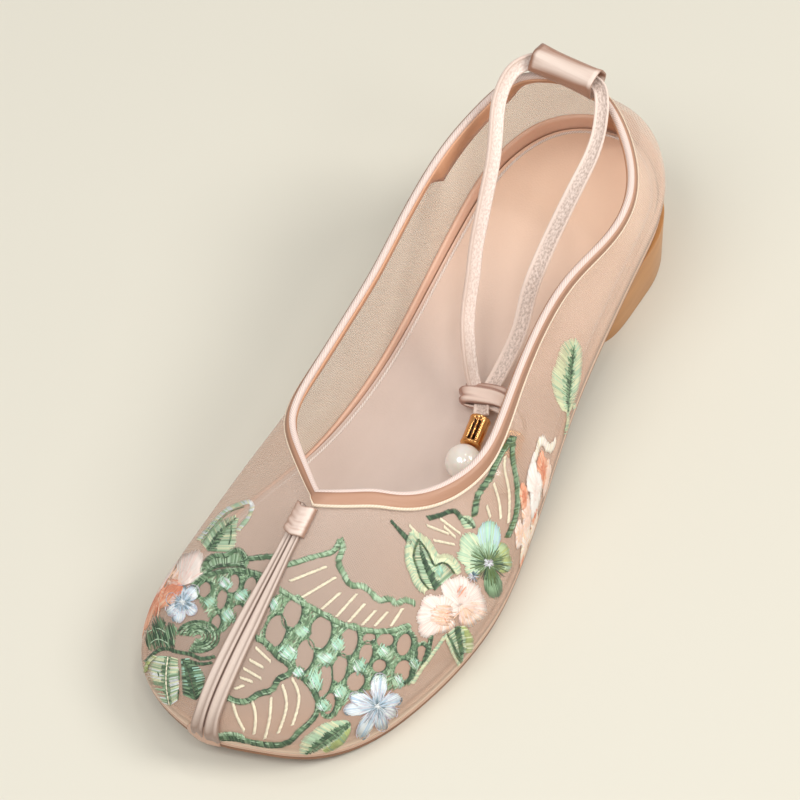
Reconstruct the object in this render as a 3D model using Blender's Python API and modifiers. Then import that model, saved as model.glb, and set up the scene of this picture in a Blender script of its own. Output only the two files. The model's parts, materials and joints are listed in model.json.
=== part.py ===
# Sheer mesh flat with a satin ankle tie, left shoe, women's EU 38
# Toe towards -Y, outer side towards +X, floor at z = 0. Sizes are millimetres until the mesh is made.
import math

import bmesh
import bpy
import numpy as np
from mathutils import Vector

for old in list(bpy.data.objects):
    bpy.data.objects.remove(old, do_unlink=True)

MM = 0.001
# The middle of the shoe's plan, in the sections' own measure
MIDDLE = Vector((2.54, -0.36, 0.0))

# Sole
SEAT_RISE = 19.5
RISE_FROM = -35.0
RISE_TO = 100.0
SPRING = 7.0
SPRING_FROM = -85.0
TOE_Y = -119.6
SOLE_THICK = 3.0
INSOLE_THICK = 4.0
GAP = 0.3

# Upper
WALL = 1.2
LIP = -0.4
RISE_SHARE = 0.42
REACH_SHARE = 0.42
ROUND = 90
UPRIGHT = 10

# Heel block
HEEL_CENTRE = (-1.4, 88.0)
HEEL_HALF_WIDTH = 27.0
HEEL_BACK = 31.6
HEEL_FRONT = 30.0
HEEL_TAPER = 0.985

# Heel tunnel
TUNNEL = (-7.4, 95.4, 74.1)
TUNNEL_AXIS = (1.0, -0.05, 0.0)
TUNNEL_LONG = 17.6
TUNNEL_HALF = (4.6, 4.4)
TUNNEL_WALL = 0.7

# Tie
TIE_WIDE = 6.0
TIE_THICK = 2.2
TIE_FACES = (0.1, -0.55, 0.83)
TIE_INNER_FACES = (0.75, -0.3, 0.6)
PEARL_R = 5.1
FERRULE_R = 3.2

# The shoe in sections, one row each, from the back of the heel along the inner side to the toe
# and back along the outer side. sole: the sole's edge. top: the topline. slope: how steep the
# wall is where it meets the topline, in degrees. swell: how far it bellies past the sole's edge.
COLUMNS = ("sole_x", "sole_y", "top_x", "top_y", "top_z", "slope", "swell")
SECTIONS = (
    (-2.0, 120.3, -7.5, 98.5, 67.8, 58, 4.0),
    (-14.6, 116.9, -16.0, 96.0, 67.8, 60, 4.0),
    (-24.1, 106.4, -23.6, 89.5, 67.0, 64, 3.5),
    (-28.8, 87.9, -28.2, 76.0, 64.0, 70, 3.0),
    (-28.6, 65.0, -31.0, 60.0, 59.5, 77, 2.5),
    (-27.1, 40.0, -30.3, 38.0, 55.5, 82, 2.0),
    (-26.3, 18.0, -28.6, 18.0, 52.0, 84, 2.0),
    (-27.6, -3.2, -27.7, 0.0, 49.8, 82, 2.4),
    (-31.2, -22.5, -27.2, -15.5, 48.0, 79, 2.6),
    (-36.6, -42.5, -26.6, -29.0, 46.6, 67, 2.9),
    (-39.4, -60.3, -24.0, -37.8, 45.4, 58, 2.9),
    (-39.9, -78.3, -18.6, -44.1, 45.3, 47, 3.4),
    (-37.4, -96.2, -13.7, -48.6, 45.6, 34, 4.3),
    (-29.6, -109.6, -9.8, -52.1, 46.3, 28, 4.1),
    (-16.8, -117.0, -6.4, -55.1, 47.2, 25, 3.3),
    (-3.1, TOE_Y, -3.3, -57.7, 48.2, 24, 3.0),
    (9.9, -116.0, 1.2, -56.3, 49.3, 24, 3.4),
    (22.6, -109.8, 6.2, -53.2, 49.0, 26, 4.0),
    (32.5, -98.2, 11.4, -49.6, 48.2, 30, 5.0),
    (39.2, -81.6, 17.0, -45.8, 46.0, 36, 5.0),
    (43.4, -62.9, 23.2, -39.5, 44.4, 45, 5.0),
    (44.6, -44.0, 28.2, -29.5, 43.8, 55, 4.5),
    (42.3, -24.9, 30.0, -17.0, 45.0, 64, 4.0),
    (37.9, -3.1, 27.3, 0.0, 47.7, 70, 3.0),
    (33.5, 17.7, 24.4, 18.4, 50.6, 73, 2.5),
    (30.2, 37.7, 23.4, 40.0, 52.5, 75, 2.5),
    (27.8, 59.9, 26.2, 59.4, 53.4, 75, 2.5),
    (25.6, 81.9, 25.2, 75.5, 57.2, 71, 2.9),
    (21.6, 101.5, 16.6, 88.5, 62.8, 63, 3.5),
    (10.4, 116.2, 4.0, 97.2, 67.4, 56, 4.0),
)
ROWS = len(SECTIONS)
TOE_ROW = 15
COLUMN = {name: np.array([row[i] for row in SECTIONS], float) for i, name in enumerate(COLUMNS)}

# The folded binding's section: depth below the topline's edge, distance out from the wall's face.
BINDING = (
    (3.7, 0.3), (3.9, 0.8), (3.4, 1.5), (2.6, 1.1), (1.4, 1.1), (0.5, 1.5), (-0.8, 1.3),
    (-1.5, 0.2), (-1.5, -1.2), (-0.8, -2.3), (3.2, -2.4), (3.5, -1.5), (-0.3, -1.5), (-0.3, 0.3),
)
# A vamp cord's section: distance from the seam, height over the wall's face.
CORD = ((0.25, 0.3), (2.4, 0.3), (4.5, 0.3), (4.7, 0.9), (3.9, 1.8), (2.4, 1.5), (0.9, 1.9), (0.25, 1.1))
# How wide the cord is along the seam, as a share: place from toe to throat, share.
CORD_SHARES = ((0.0, 0.95), (0.2, 0.78), (0.4, 0.8), (0.6, 0.74), (0.84, 0.5), (1.0, 0.46))
# The keeper over both cords: inner and outer edge of its arch, same two columns.
KEEPER = (
    ((-2.7, 0.3), (-3.3, 0.3)), ((-2.7, 1.6), (-3.3, 1.8)), ((-2.3, 2.2), (-2.7, 2.9)),
    ((0.0, 2.2), (0.0, 3.0)),
    ((2.3, 2.2), (2.7, 2.9)), ((2.7, 1.6), (3.3, 1.8)), ((2.7, 0.3), (3.3, 0.3)),
)
KEEPER_FROM = 4.4
KEEPER_TO = 11.6
CORD_FROM = 4.2

# The tie's two halves, from the middle of the tunnel: x, y, z of the ribbon's middle.
TIE_INNER = (
    (-7.7, 95.4, 74.1), (-12.4, 95.6, 74.1), (-17.1, 95.4, 74.1), (-20.6, 91.4, 74.0), (-21.8, 86.6, 73.6),
    (-21.2, 80.6, 72.4), (-19.4, 74.7, 70.2), (-16.4, 68.0, 66.2), (-13.9, 61.4, 61.8), (-12.2, 54.8, 57.0),
    (-10.6, 48.5, 52.0), (-9.0, 42.4, 46.5), (-7.2, 36.2, 40.5), (-4.9, 28.6, 33.5), (-2.0, 20.8, 26.2),
    (0.5, 14.6, 19.9),
)
TIE_OUTER = (
    (-7.1, 95.4, 74.1), (-2.4, 95.2, 74.1), (2.3, 95.0, 74.1), (6.6, 92.6, 73.2), (9.6, 88.6, 70.4),
    (11.4, 83.0, 66.4), (10.8, 76.7, 62.5), (9.7, 69.6, 58.0), (8.9, 60.8, 51.0), (9.2, 54.4, 45.5),
    (9.4, 47.7, 40.0), (9.5, 41.8, 34.6), (9.7, 34.8, 28.5), (9.4, 27.1, 22.7), (9.0, 20.4, 19.2),
    (8.9, 15.0, 18.3), (9.8, 11.5, 18.1), (11.2, 8.9, 17.8),
)
TIE_END = ((15.2, 14.6, 17.5), (18.4, 13.8, 16.8), (20.9, 12.0, 16.2), (22.1, 9.7, 16.0))
KNOT = (8.8, 14.4, 18.3)
KNOT_LONG = 5.0
KNOT_HALF = (5.8, 3.5)
KNOT_HOLE = (4.7, 2.6)
FERRULE_1 = ((11.6, 7.9, 17.6), (13.1, -1.2, 16.1))
FERRULE_2 = ((22.6, 8.3, 15.9), (24.8, 0.0, 15.5))

shoe = bpy.data.collections.new("mesh_sandal")
bpy.context.scene.collection.children.link(shoe)


def material(name, colour, rough, metallic=0.0, alpha=1.0):
    mat = bpy.data.materials.new(name)
    mat.use_nodes = True
    bsdf = mat.node_tree.nodes["Principled BSDF"]
    bsdf.inputs["Base Color"].default_value = (*colour, 1.0)
    bsdf.inputs["Roughness"].default_value = rough
    bsdf.inputs["Metallic"].default_value = metallic
    bsdf.inputs["Alpha"].default_value = alpha
    return mat


MESH = material("nude_mesh", (0.80, 0.56, 0.43), 0.7)
SATIN = material("pink_satin", (0.83, 0.60, 0.49), 0.35)
TAN = material("tan_lining", (0.60, 0.30, 0.15), 0.55)
FOOTBED = material("footbed_leather", (0.72, 0.52, 0.45), 0.6)
RUBBER = material("caramel_rubber", (0.42, 0.19, 0.07), 0.5)
GOLD = material("gold", (0.86, 0.60, 0.26), 0.25, 1.0)
PEARL = material("pearl", (0.90, 0.86, 0.78), 0.2)


def slopes(values, closed):
    """The slope of a smooth curve through evenly spaced values, at each of them."""
    n = len(values)
    a = np.zeros((n, n))
    b = np.zeros(n)
    for i in range(n):
        if closed or 0 < i < n - 1:
            a[i, i - 1] += 1
            a[i, i] += 4
            a[i, (i + 1) % n] += 1
            b[i] = 3 * (values[(i + 1) % n] - values[i - 1])
    if not closed:
        a[0, 0], a[0, 1], b[0] = 2, 1, 3 * (values[1] - values[0])
        a[-1, -1], a[-1, -2], b[-1] = 2, 1, 3 * (values[-1] - values[-2])
    return np.linalg.solve(a, b)


def curve(values, u, closed=True):
    """The smooth curve through evenly spaced values, at row numbers u."""
    values = np.asarray(values, float)
    m = slopes(values, closed)
    n = len(values)
    u = np.asarray(u, float)
    u = np.mod(u, n) if closed else np.clip(u, 0, n - 1)
    i = np.minimum(np.floor(u).astype(int), n - 1 if closed else n - 2)
    j = (i + 1) % n
    f = u - i
    return (
        (2 * f**3 - 3 * f**2 + 1) * values[i] + (f**3 - 2 * f**2 + f) * m[i]
        + (3 * f**2 - 2 * f**3) * values[j] + (f**3 - f**2) * m[j]
    )


def topline(name, u):
    """A topline column at u. The line has a point at the throat, over the toe row."""
    v = COLUMN[name]
    v = np.concatenate([v[TOE_ROW:], v[: TOE_ROW + 1]])
    return curve(v, np.mod(np.asarray(u, float) - TOE_ROW, ROWS), closed=False)


def smooth(x):
    x = np.clip(x, 0.0, 1.0)
    return x * x * (3 - 2 * x)


def sole_under(y):
    """Height of the outsole's underside: toe spring, flat forefoot, rise to the heel seat."""
    y = np.asarray(y, float)
    spring = SPRING * np.clip((SPRING_FROM - y) / (SPRING_FROM - TOE_Y), 0, None) ** 1.7
    return spring + SEAT_RISE * smooth((y - RISE_FROM) / (RISE_TO - RISE_FROM))


def sole_top(y):
    return sole_under(y) + SOLE_THICK


def insole_top(y):
    return sole_top(y) + GAP + INSOLE_THICK


def outline(u, inset=0.0):
    """The sole's edge in plan at u, and the way out from it."""
    step = 0.02
    x, y = (curve(COLUMN[c], u) for c in ("sole_x", "sole_y"))
    dx, dy = (curve(COLUMN[c], u + step) - curve(COLUMN[c], u - step) for c in ("sole_x", "sole_y"))
    long = np.hypot(dx, dy)
    out = np.stack([dy / long, -dx / long], -1)
    return np.stack([x, y], -1) - inset * out, out


def wall(u, t):
    """The upper's outer face at u round the shoe and t up the wall, from the sole to the topline."""
    u, t = np.broadcast_arrays(np.asarray(u, float), np.asarray(t, float))
    foot, out = outline(u, LIP)
    low = np.concatenate([foot, (sole_top(foot[..., 1]) + GAP)[..., None]], -1)
    out = np.concatenate([out, np.zeros_like(out[..., :1])], -1)
    top = np.stack([topline(c, u) for c in ("top_x", "top_y", "top_z")], -1)
    up = np.array([0.0, 0.0, 1.0])
    inward = (top - low) * (1, 1, 0) - 20.0 * out
    inward /= np.linalg.norm(inward, axis=-1, keepdims=True)
    slope = np.radians(curve(COLUMN["slope"], u))[..., None]
    swell = curve(COLUMN["swell"], u)[..., None]
    tall = (top - low)[..., 2:]
    far = np.linalg.norm(top - low, axis=-1, keepdims=True)
    first = low + swell * out + RISE_SHARE * tall * up
    second = top - REACH_SHARE * far * (np.cos(slope) * inward + np.sin(slope) * up)
    t = t[..., None]
    s = 1 - t
    return s**3 * low + 3 * s**2 * t * first + 3 * s * t**2 * second + t**3 * top


def facing(u, t):
    """The way out of the upper's outer face."""
    h = 0.01
    along = wall(u + h, t) - wall(u - h, t)
    high = np.minimum(np.asarray(t, float) + h, 1.0)
    deep = np.maximum(np.asarray(t, float) - h, 0.0)
    n = np.cross(along, wall(u, high) - wall(u, deep))
    return n / np.linalg.norm(n, axis=-1, keepdims=True)


FINE = np.linspace(0.0, 1.0, 161)


def share_at(u, depth):
    """How far up the wall t a point lies that is depth below the topline, measured along the wall."""
    line = wall(np.full_like(FINE, u), FINE)
    run = np.concatenate([[0.0], np.cumsum(np.linalg.norm(np.diff(line, axis=0), axis=1))])
    return np.interp(run[-1] - np.asarray(depth, float), run, FINE)


def over_wall(u, depth, height):
    """A point depth below the topline and height off the wall's face. Past the edge it runs on straight."""
    t = float(share_at(u, max(depth, 0.0)))
    p = wall(u, t) + height * facing(u, t)
    if depth < 0:
        end = wall(u, 1.0) - wall(u, 0.98)
        p = p - depth * end / np.linalg.norm(end)
    return p


def beside_seam(side, depth_t, away):
    """u at a distance away from the front seam, at t up the wall."""
    steps = np.linspace(0.0, 2.5, 51)
    line = wall(TOE_ROW + side * steps, np.full_like(steps, depth_t))
    run = np.concatenate([[0.0], np.cumsum(np.linalg.norm(np.diff(line, axis=0), axis=1))])
    return TOE_ROW + side * np.interp(away, run, steps)


def finish(bm, name, mat, smooth_faces=True):
    bmesh.ops.remove_doubles(bm, verts=bm.verts, dist=0.00001)
    bmesh.ops.triangulate(bm, faces=[f for f in bm.faces if len(f.verts) > 4])
    bmesh.ops.recalc_face_normals(bm, faces=bm.faces)
    for f in bm.faces:
        f.smooth = smooth_faces
    mesh = bpy.data.meshes.new(name)
    bm.to_mesh(mesh)
    bm.free()
    mesh.materials.append(mat)
    ob = bpy.data.objects.new(name, mesh)
    shoe.objects.link(ob)
    return ob


def sweep(name, rings, mat, closed=False):
    """A solid through rings of points: closed round on itself, or capped at both ends."""
    bm = bmesh.new()
    grid = [[bm.verts.new((Vector(p) - MIDDLE) * MM) for p in ring] for ring in rings]
    n = len(grid)
    k = len(grid[0])
    for i in range(n if closed else n - 1):
        for j in range(k):
            a, b = grid[i], grid[(i + 1) % n]
            bm.faces.new((a[j], a[(j + 1) % k], b[(j + 1) % k], b[j]))
    if not closed:
        bm.faces.new(grid[0])
        bm.faces.new(grid[-1])
    return finish(bm, name, mat)


def plate(name, edge, under, over, mat, taper=None, cuts=24):
    """A slab from a plan outline, cut across into strips. Two heights along y set its faces."""
    bm = bmesh.new()
    face = bm.faces.new([bm.verts.new((x * MM, y * MM, 0.0)) for x, y in edge])
    grown = bmesh.ops.extrude_face_region(bm, geom=[face])
    for v in [g for g in grown["geom"] if isinstance(g, bmesh.types.BMVert)]:
        v.co.z = 0.01
    low, high = min(p[1] for p in edge), max(p[1] for p in edge)
    for y in np.linspace(low, high, cuts + 2)[1:-1]:
        bmesh.ops.bisect_plane(
            bm, geom=bm.verts[:] + bm.edges[:] + bm.faces[:], plane_co=(0, y * MM, 0), plane_no=(0, 1, 0)
        )
    for v in bm.verts:
        y = v.co.y / MM
        lower = v.co.z < 0.005
        v.co.z = float(under(y) if lower else over(y)) * MM
        if taper and lower:
            centre, share = taper
            v.co.x = (centre[0] + (v.co.x / MM - centre[0]) * share) * MM
            v.co.y = (centre[1] + (y - centre[1]) * share) * MM
        v.co -= MIDDLE * MM
    return finish(bm, name, mat)


def tie_ribbon(name, points, mat, steps, faces=TIE_FACES):
    """A flat ribbon along a smooth line through points, its flat side towards faces."""
    points = np.array(points)
    u = np.linspace(0, len(points) - 1, steps)
    line = np.stack([curve(points[:, i], u, closed=False) for i in range(3)], -1)
    ahead = np.gradient(line, axis=0)
    ahead /= np.linalg.norm(ahead, axis=1, keepdims=True)
    across = np.cross(ahead, faces)
    across /= np.linalg.norm(across, axis=1, keepdims=True)
    above = np.cross(across, ahead)
    w, h = TIE_WIDE / 2, TIE_THICK / 2
    section = ((-w, -0.5 * h), (-0.8 * w, -h), (0.8 * w, -h), (w, -0.5 * h))
    section = section + tuple((-a, -b) for a, b in section)
    rings = [[p + a * q + b * r for a, b in section] for p, q, r in zip(line, across, above)]
    return sweep(name, rings, mat)


def rod(name, ends, radius, mat, bevel):
    """A round cap between two points, with softened rims."""
    a, b = ((Vector(e) - MIDDLE) * MM for e in ends)
    bpy.ops.mesh.primitive_cylinder_add(
        vertices=20, radius=radius * MM, depth=(b - a).length, location=(a + b) / 2,
        rotation=(b - a).to_track_quat("Z", "Y").to_euler(),
    )
    ob = bpy.context.object
    ob.name = name
    ob.data.name = name
    for c in list(ob.users_collection):
        c.objects.unlink(ob)
    shoe.objects.link(ob)
    ob.data.materials.append(mat)
    soft = ob.modifiers.new("rims", "BEVEL")
    soft.width = bevel * MM
    soft.segments = 2
    soft.limit_method = "ANGLE"
    return ob


def pearl(name, ends):
    """A pearl just past the far end of a cap."""
    a, b = (Vector(e) for e in ends)
    centre = b + (b - a).normalized() * (PEARL_R + GAP)
    bpy.ops.mesh.primitive_uv_sphere_add(
        segments=20, ring_count=12, radius=PEARL_R * MM, location=(centre - MIDDLE) * MM
    )
    ob = bpy.context.object
    ob.name = name
    ob.data.name = name
    for c in list(ob.users_collection):
        c.objects.unlink(ob)
    shoe.objects.link(ob)
    ob.data.materials.append(PEARL)
    for f in ob.data.polygons:
        f.use_smooth = True
    return ob


# Sole, heel and footbed
around = np.arange(ROUND) * ROWS / ROUND
plate("outsole", outline(around)[0], sole_under, sole_top, RUBBER)
plate(
    "insole", outline(around, LIP + WALL + GAP)[0], lambda y: sole_top(y) + GAP, insole_top, FOOTBED
)
heel_edge = []
for k in range(64):
    turn = 2 * math.pi * k / 64
    c, s = math.cos(turn), math.sin(turn)
    power = 1.0 if s >= 0 else 0.36
    x = HEEL_CENTRE[0] + HEEL_HALF_WIDTH * math.copysign(abs(c) ** power, c)
    y = HEEL_CENTRE[1] + (HEEL_BACK if s >= 0 else HEEL_FRONT) * math.copysign(abs(s) ** power, s)
    heel_edge.append((x, y))
plate(
    "heel", heel_edge, lambda y: 0.0, lambda y: sole_under(y) - GAP, RUBBER, (HEEL_CENTRE, HEEL_TAPER), 8
)

# Upper: one wall, outer face up and inner face down at each section
rise = np.linspace(0.0, 1.0, UPRIGHT + 1)
walls = []
for u in around:
    outer = wall(np.full_like(rise, u), rise)
    inner = outer - WALL * facing(np.full_like(rise, u), rise)
    walls.append(list(outer) + list(inner[::-1]))
sweep("upper", walls, MESH, closed=True)

# Binding folded over the topline
sweep("topline_binding", [[over_wall(u, d, h) for d, h in BINDING] for u in around], SATIN, closed=True)

# Two cords down the front seam and the keeper over them
seam_top = float(share_at(TOE_ROW, CORD_FROM))
for name, side in (("vamp_cord_inner", -1), ("vamp_cord_outer", 1)):
    rings = []
    for t in np.linspace(0.015, seam_top, 26):
        share = np.interp(t / seam_top, *zip(*CORD_SHARES))
        ring = []
        for away, height in CORD:
            u = beside_seam(side, t, CORD[0][0] + share * (away - CORD[0][0]))
            ring.append(wall(u, t) + height * facing(u, t))
        rings.append(ring)
    sweep(name, rings, SATIN)
rings = []
for inner, outer in KEEPER:
    ring = []
    corners = ((inner, KEEPER_FROM), (inner, KEEPER_TO), (outer, KEEPER_TO), (outer, KEEPER_FROM))
    for (away, height), depth in corners:
        t = float(share_at(TOE_ROW, depth))
        u = beside_seam(1 if away >= 0 else -1, t, abs(away))
        ring.append(wall(u, t) + height * facing(u, t))
    rings.append(ring)
sweep("throat_keeper", rings, SATIN)

# Stay up the inside of the back
STAY_HALF = 0.62
STAY_THICK = 0.9
rings = []
stay_low = 0.0
for t in np.linspace(0.0, 0.5, 101):
    p = wall(0.0, t)
    if p[2] < insole_top(p[1]) + 0.9:
        stay_low = t
for t in np.linspace(stay_low, float(share_at(0.0, 5.6)), 9):
    us = np.linspace(-STAY_HALF, STAY_HALF, 7)
    face, n = wall(us, np.full_like(us, t)), facing(us, np.full_like(us, t))
    near, back = face - (WALL + GAP) * n, face - (WALL + GAP + STAY_THICK) * n
    rings.append(list(near) + list(back[::-1]))
sweep("heel_stay", rings, TAN)

# Tunnel at the back and the tie through it
axis = Vector(TUNNEL_AXIS).normalized()
fore = Vector((0, 0, 1)).cross(axis)
rings = []
for k in range(24):
    turn = 2 * math.pi * k / 24
    rim = []
    for w in (0.0, TUNNEL_WALL):
        across = fore * (TUNNEL_HALF[0] - w) * math.cos(turn)
        rim.append(Vector(TUNNEL) + across + Vector((0, 0, 1)) * (TUNNEL_HALF[1] - w) * math.sin(turn))
    end = axis * TUNNEL_LONG / 2
    rings.append((rim[0] + end, rim[0] - end, rim[1] - end, rim[1] + end))
sweep("heel_tunnel", rings, SATIN, closed=True)
tie_ribbon("tie_inner", TIE_INNER, SATIN, 34, TIE_INNER_FACES)
tie_ribbon("tie_outer", TIE_OUTER, SATIN, 40)
tie_ribbon("tie_end", TIE_END, SATIN, 8)
rings = []
for k in range(24):
    turn = 2 * math.pi * k / 24
    c, s = math.cos(turn), math.sin(turn)
    soft = [math.copysign(abs(v) ** 0.6, v) for v in (c, s)]
    rim = [Vector(KNOT) + Vector((h[0] * soft[0], 0, h[1] * soft[1])) for h in (KNOT_HALF, KNOT_HOLE)]
    end = Vector((0, KNOT_LONG / 2, 0))
    rings.append((rim[0] + end, rim[0] - end, rim[1] - end, rim[1] + end))
sweep("tie_knot", rings, SATIN, closed=True)
rod("ferrule_1", FERRULE_1, FERRULE_R, GOLD, 0.4)
rod("ferrule_2", FERRULE_2, FERRULE_R, GOLD, 0.4)
pearl("pearl_1", FERRULE_1)
pearl("pearl_2", FERRULE_2)
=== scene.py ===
# Sheer mesh flat with a satin ankle tie and embroidered vamp: the looks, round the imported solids
# Toe towards -Y, outer side towards +X, floor at z = 0. Sizes are millimetres until a mesh is made.
import itertools
import json
import math

import bmesh
import bpy
import numpy as np
from mathutils import Euler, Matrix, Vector
from mathutils.bvhtree import BVHTree

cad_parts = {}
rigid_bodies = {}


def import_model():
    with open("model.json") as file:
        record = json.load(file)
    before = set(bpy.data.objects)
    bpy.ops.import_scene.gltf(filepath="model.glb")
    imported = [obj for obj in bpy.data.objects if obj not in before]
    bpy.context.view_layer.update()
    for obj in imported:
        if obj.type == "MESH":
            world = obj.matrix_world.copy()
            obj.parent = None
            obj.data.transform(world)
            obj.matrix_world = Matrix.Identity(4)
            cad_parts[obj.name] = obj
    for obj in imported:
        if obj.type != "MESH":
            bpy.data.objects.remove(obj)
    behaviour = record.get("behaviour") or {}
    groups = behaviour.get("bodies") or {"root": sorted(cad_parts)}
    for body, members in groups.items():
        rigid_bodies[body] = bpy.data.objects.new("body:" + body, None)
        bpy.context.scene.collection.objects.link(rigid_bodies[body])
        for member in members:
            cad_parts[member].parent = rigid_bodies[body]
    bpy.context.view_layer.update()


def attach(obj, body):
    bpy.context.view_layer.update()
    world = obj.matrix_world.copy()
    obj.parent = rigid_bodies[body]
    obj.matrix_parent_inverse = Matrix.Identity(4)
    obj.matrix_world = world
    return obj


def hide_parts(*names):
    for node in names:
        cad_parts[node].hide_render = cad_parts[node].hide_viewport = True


for old in list(bpy.data.objects):
    bpy.data.objects.remove(old, do_unlink=True)
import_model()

MM = 0.001
UP = np.array([0.0, 0.0, 1.0])
# The middle of the shoe's plan, in the sections' own measure
MIDDLE = np.array([2.54, -0.36, 0.0])

# Sole
SEAT_RISE = 19.5
RISE_FROM = -35.0
RISE_TO = 100.0
SPRING = 7.0
SPRING_FROM = -85.0
SPRING_POWER = 1.7
TOE_Y = -119.6
SOLE_THICK = 3.0
INSOLE_THICK = 4.0
GAP = 0.3

# Upper: its thickness, how far in from the sole's edge its foot stands, how far the two handles of its
# curve reach, and how much the way in from the edge counts beside the way to the topline
WALL = 1.2
LIP = -0.4
RISE_SHARE = 0.42
REACH_SHARE = 0.42
INWARD_PULL = 20.0

# Heel block: its plan, how far it narrows to the floor and how square its front corners are
HEEL_CENTRE = (-1.4, 88.0)
HEEL_HALF_WIDTH = 27.0
HEEL_BACK = 31.6
HEEL_FRONT = 30.0
HEEL_TAPER = 0.985
HEEL_SQUARE = 0.36

# The shoe in sections, one row each, from the back of the heel along the inner side to the toe
# and back along the outer side. sole: the sole's edge. top: the topline. slope: how steep the
# wall is where it meets the topline, in degrees. swell: how far it bellies past the sole's edge.
COLUMNS = ("sole_x", "sole_y", "top_x", "top_y", "top_z", "slope", "swell")
SECTIONS = (
    (-2.0, 120.3, -7.5, 98.5, 67.8, 58, 4.0),
    (-14.6, 116.9, -16.0, 96.0, 67.8, 60, 4.0),
    (-24.1, 106.4, -23.6, 89.5, 67.0, 64, 3.5),
    (-28.8, 87.9, -28.2, 76.0, 64.0, 70, 3.0),
    (-28.6, 65.0, -31.0, 60.0, 59.5, 77, 2.5),
    (-27.1, 40.0, -30.3, 38.0, 55.5, 82, 2.0),
    (-26.3, 18.0, -28.6, 18.0, 52.0, 84, 2.0),
    (-27.6, -3.2, -27.7, 0.0, 49.8, 82, 2.4),
    (-31.2, -22.5, -27.2, -15.5, 48.0, 79, 2.6),
    (-36.6, -42.5, -26.6, -29.0, 46.6, 67, 2.9),
    (-39.4, -60.3, -24.0, -37.8, 45.4, 58, 2.9),
    (-39.9, -78.3, -18.6, -44.1, 45.3, 47, 3.4),
    (-37.4, -96.2, -13.7, -48.6, 45.6, 34, 4.3),
    (-29.6, -109.6, -9.8, -52.1, 46.3, 28, 4.1),
    (-16.8, -117.0, -6.4, -55.1, 47.2, 25, 3.3),
    (-3.1, TOE_Y, -3.3, -57.7, 48.2, 24, 3.0),
    (9.9, -116.0, 1.2, -56.3, 49.3, 24, 3.4),
    (22.6, -109.8, 6.2, -53.2, 49.0, 26, 4.0),
    (32.5, -98.2, 11.4, -49.6, 48.2, 30, 5.0),
    (39.2, -81.6, 17.0, -45.8, 46.0, 36, 5.0),
    (43.4, -62.9, 23.2, -39.5, 44.4, 45, 5.0),
    (44.6, -44.0, 28.2, -29.5, 43.8, 55, 4.5),
    (42.3, -24.9, 30.0, -17.0, 45.0, 64, 4.0),
    (37.9, -3.1, 27.3, 0.0, 47.7, 70, 3.0),
    (33.5, 17.7, 24.4, 18.4, 50.6, 73, 2.5),
    (30.2, 37.7, 23.4, 40.0, 52.5, 75, 2.5),
    (27.8, 59.9, 26.2, 59.4, 53.4, 75, 2.5),
    (25.6, 81.9, 25.2, 75.5, 57.2, 71, 2.9),
    (21.6, 101.5, 16.6, 88.5, 62.8, 63, 3.5),
    (10.4, 116.2, 4.0, 97.2, 67.4, 56, 4.0),
)
ROWS = len(SECTIONS)
TOE_ROW = 15
COLUMN = {name: np.array([row[i] for row in SECTIONS], float) for i, name in enumerate(COLUMNS)}

# The tie's two halves, from the middle of the tunnel: x, y, z of the ribbon's middle.
TIE_INNER = (
    (-7.7, 95.4, 74.1), (-12.4, 95.6, 74.1), (-17.1, 95.4, 74.1), (-20.6, 91.4, 74.0), (-21.8, 86.6, 73.6),
    (-21.2, 80.6, 72.4), (-19.4, 74.7, 70.2), (-16.4, 68.0, 66.2), (-13.9, 61.4, 61.8), (-12.2, 54.8, 57.0),
    (-10.6, 48.5, 52.0), (-9.0, 42.4, 46.5), (-6.8, 36.2, 40.5), (-4.3, 28.8, 33.5), (0.4, 21.2, 26.4),
    (4.4, 16.6, 20.8),
)
TIE_OUTER = (
    (-7.1, 95.4, 74.1), (-2.4, 95.2, 74.1), (2.3, 95.0, 74.1), (5.6, 92.6, 73.2), (7.8, 88.6, 70.4),
    (9.6, 83.0, 66.4), (10.2, 76.7, 62.5), (9.8, 69.6, 58.0), (8.9, 60.8, 51.0), (8.3, 54.4, 45.5),
    (8.1, 47.7, 40.0), (8.5, 41.8, 34.6), (9.7, 34.8, 28.5), (9.4, 27.1, 22.7), (9.0, 20.4, 19.2),
    (8.9, 15.0, 18.3), (9.8, 11.5, 18.1), (11.2, 8.9, 17.8),
)
TIE_END = ((15.2, 14.6, 17.5), (18.4, 13.8, 16.8), (20.9, 12.0, 16.2), (22.1, 9.7, 16.0))
KNOT = (8.8, 14.4, 18.3)
FERRULE_1 = ((11.6, 7.9, 17.6), (13.1, -1.2, 16.1))
FERRULE_2 = ((22.6, 8.3, 15.9), (24.8, 0.0, 15.5))
PEARL_R = 5.4
TIE_WIDE = 6.0
# Which way the outer and the inner half face
TIE_FACES = (0.1, -0.55, 0.83)
TIE_INNER_FACES = (0.75, -0.3, 0.6)
# Front seam: how wide each cord is, place from toe to throat and share, and depths below the topline
CORD_SHARES = ((0.0, 0.95), (0.2, 0.78), (0.4, 0.8), (0.6, 0.74), (0.84, 0.5), (1.0, 0.46))
KEEPER_FROM = 4.6
KEEPER_TO = 13.2
CORD_FROM = 4.2
# Tunnel at the back: its middle and the way it runs
TUNNEL = (-7.4, 95.4, 74.1)
TUNNEL_AXIS = (1.0, -0.05, 0.0)

# The camera: where it stands in metres, how it is turned in radians, its lens and sensor in mm
EYE = (0.31028, -0.49291, 0.76691)
TURN = (0.71447, 0.05312, 0.54124)
LENS = 108.2518
SENSOR = 36.0
# The same camera turned and drawn in to frame the one shoe
SHOT_TURN = (0.66869, 0.04, 0.53037)
SHOT_LENS = 146.14


# Shape of the shoe


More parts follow.
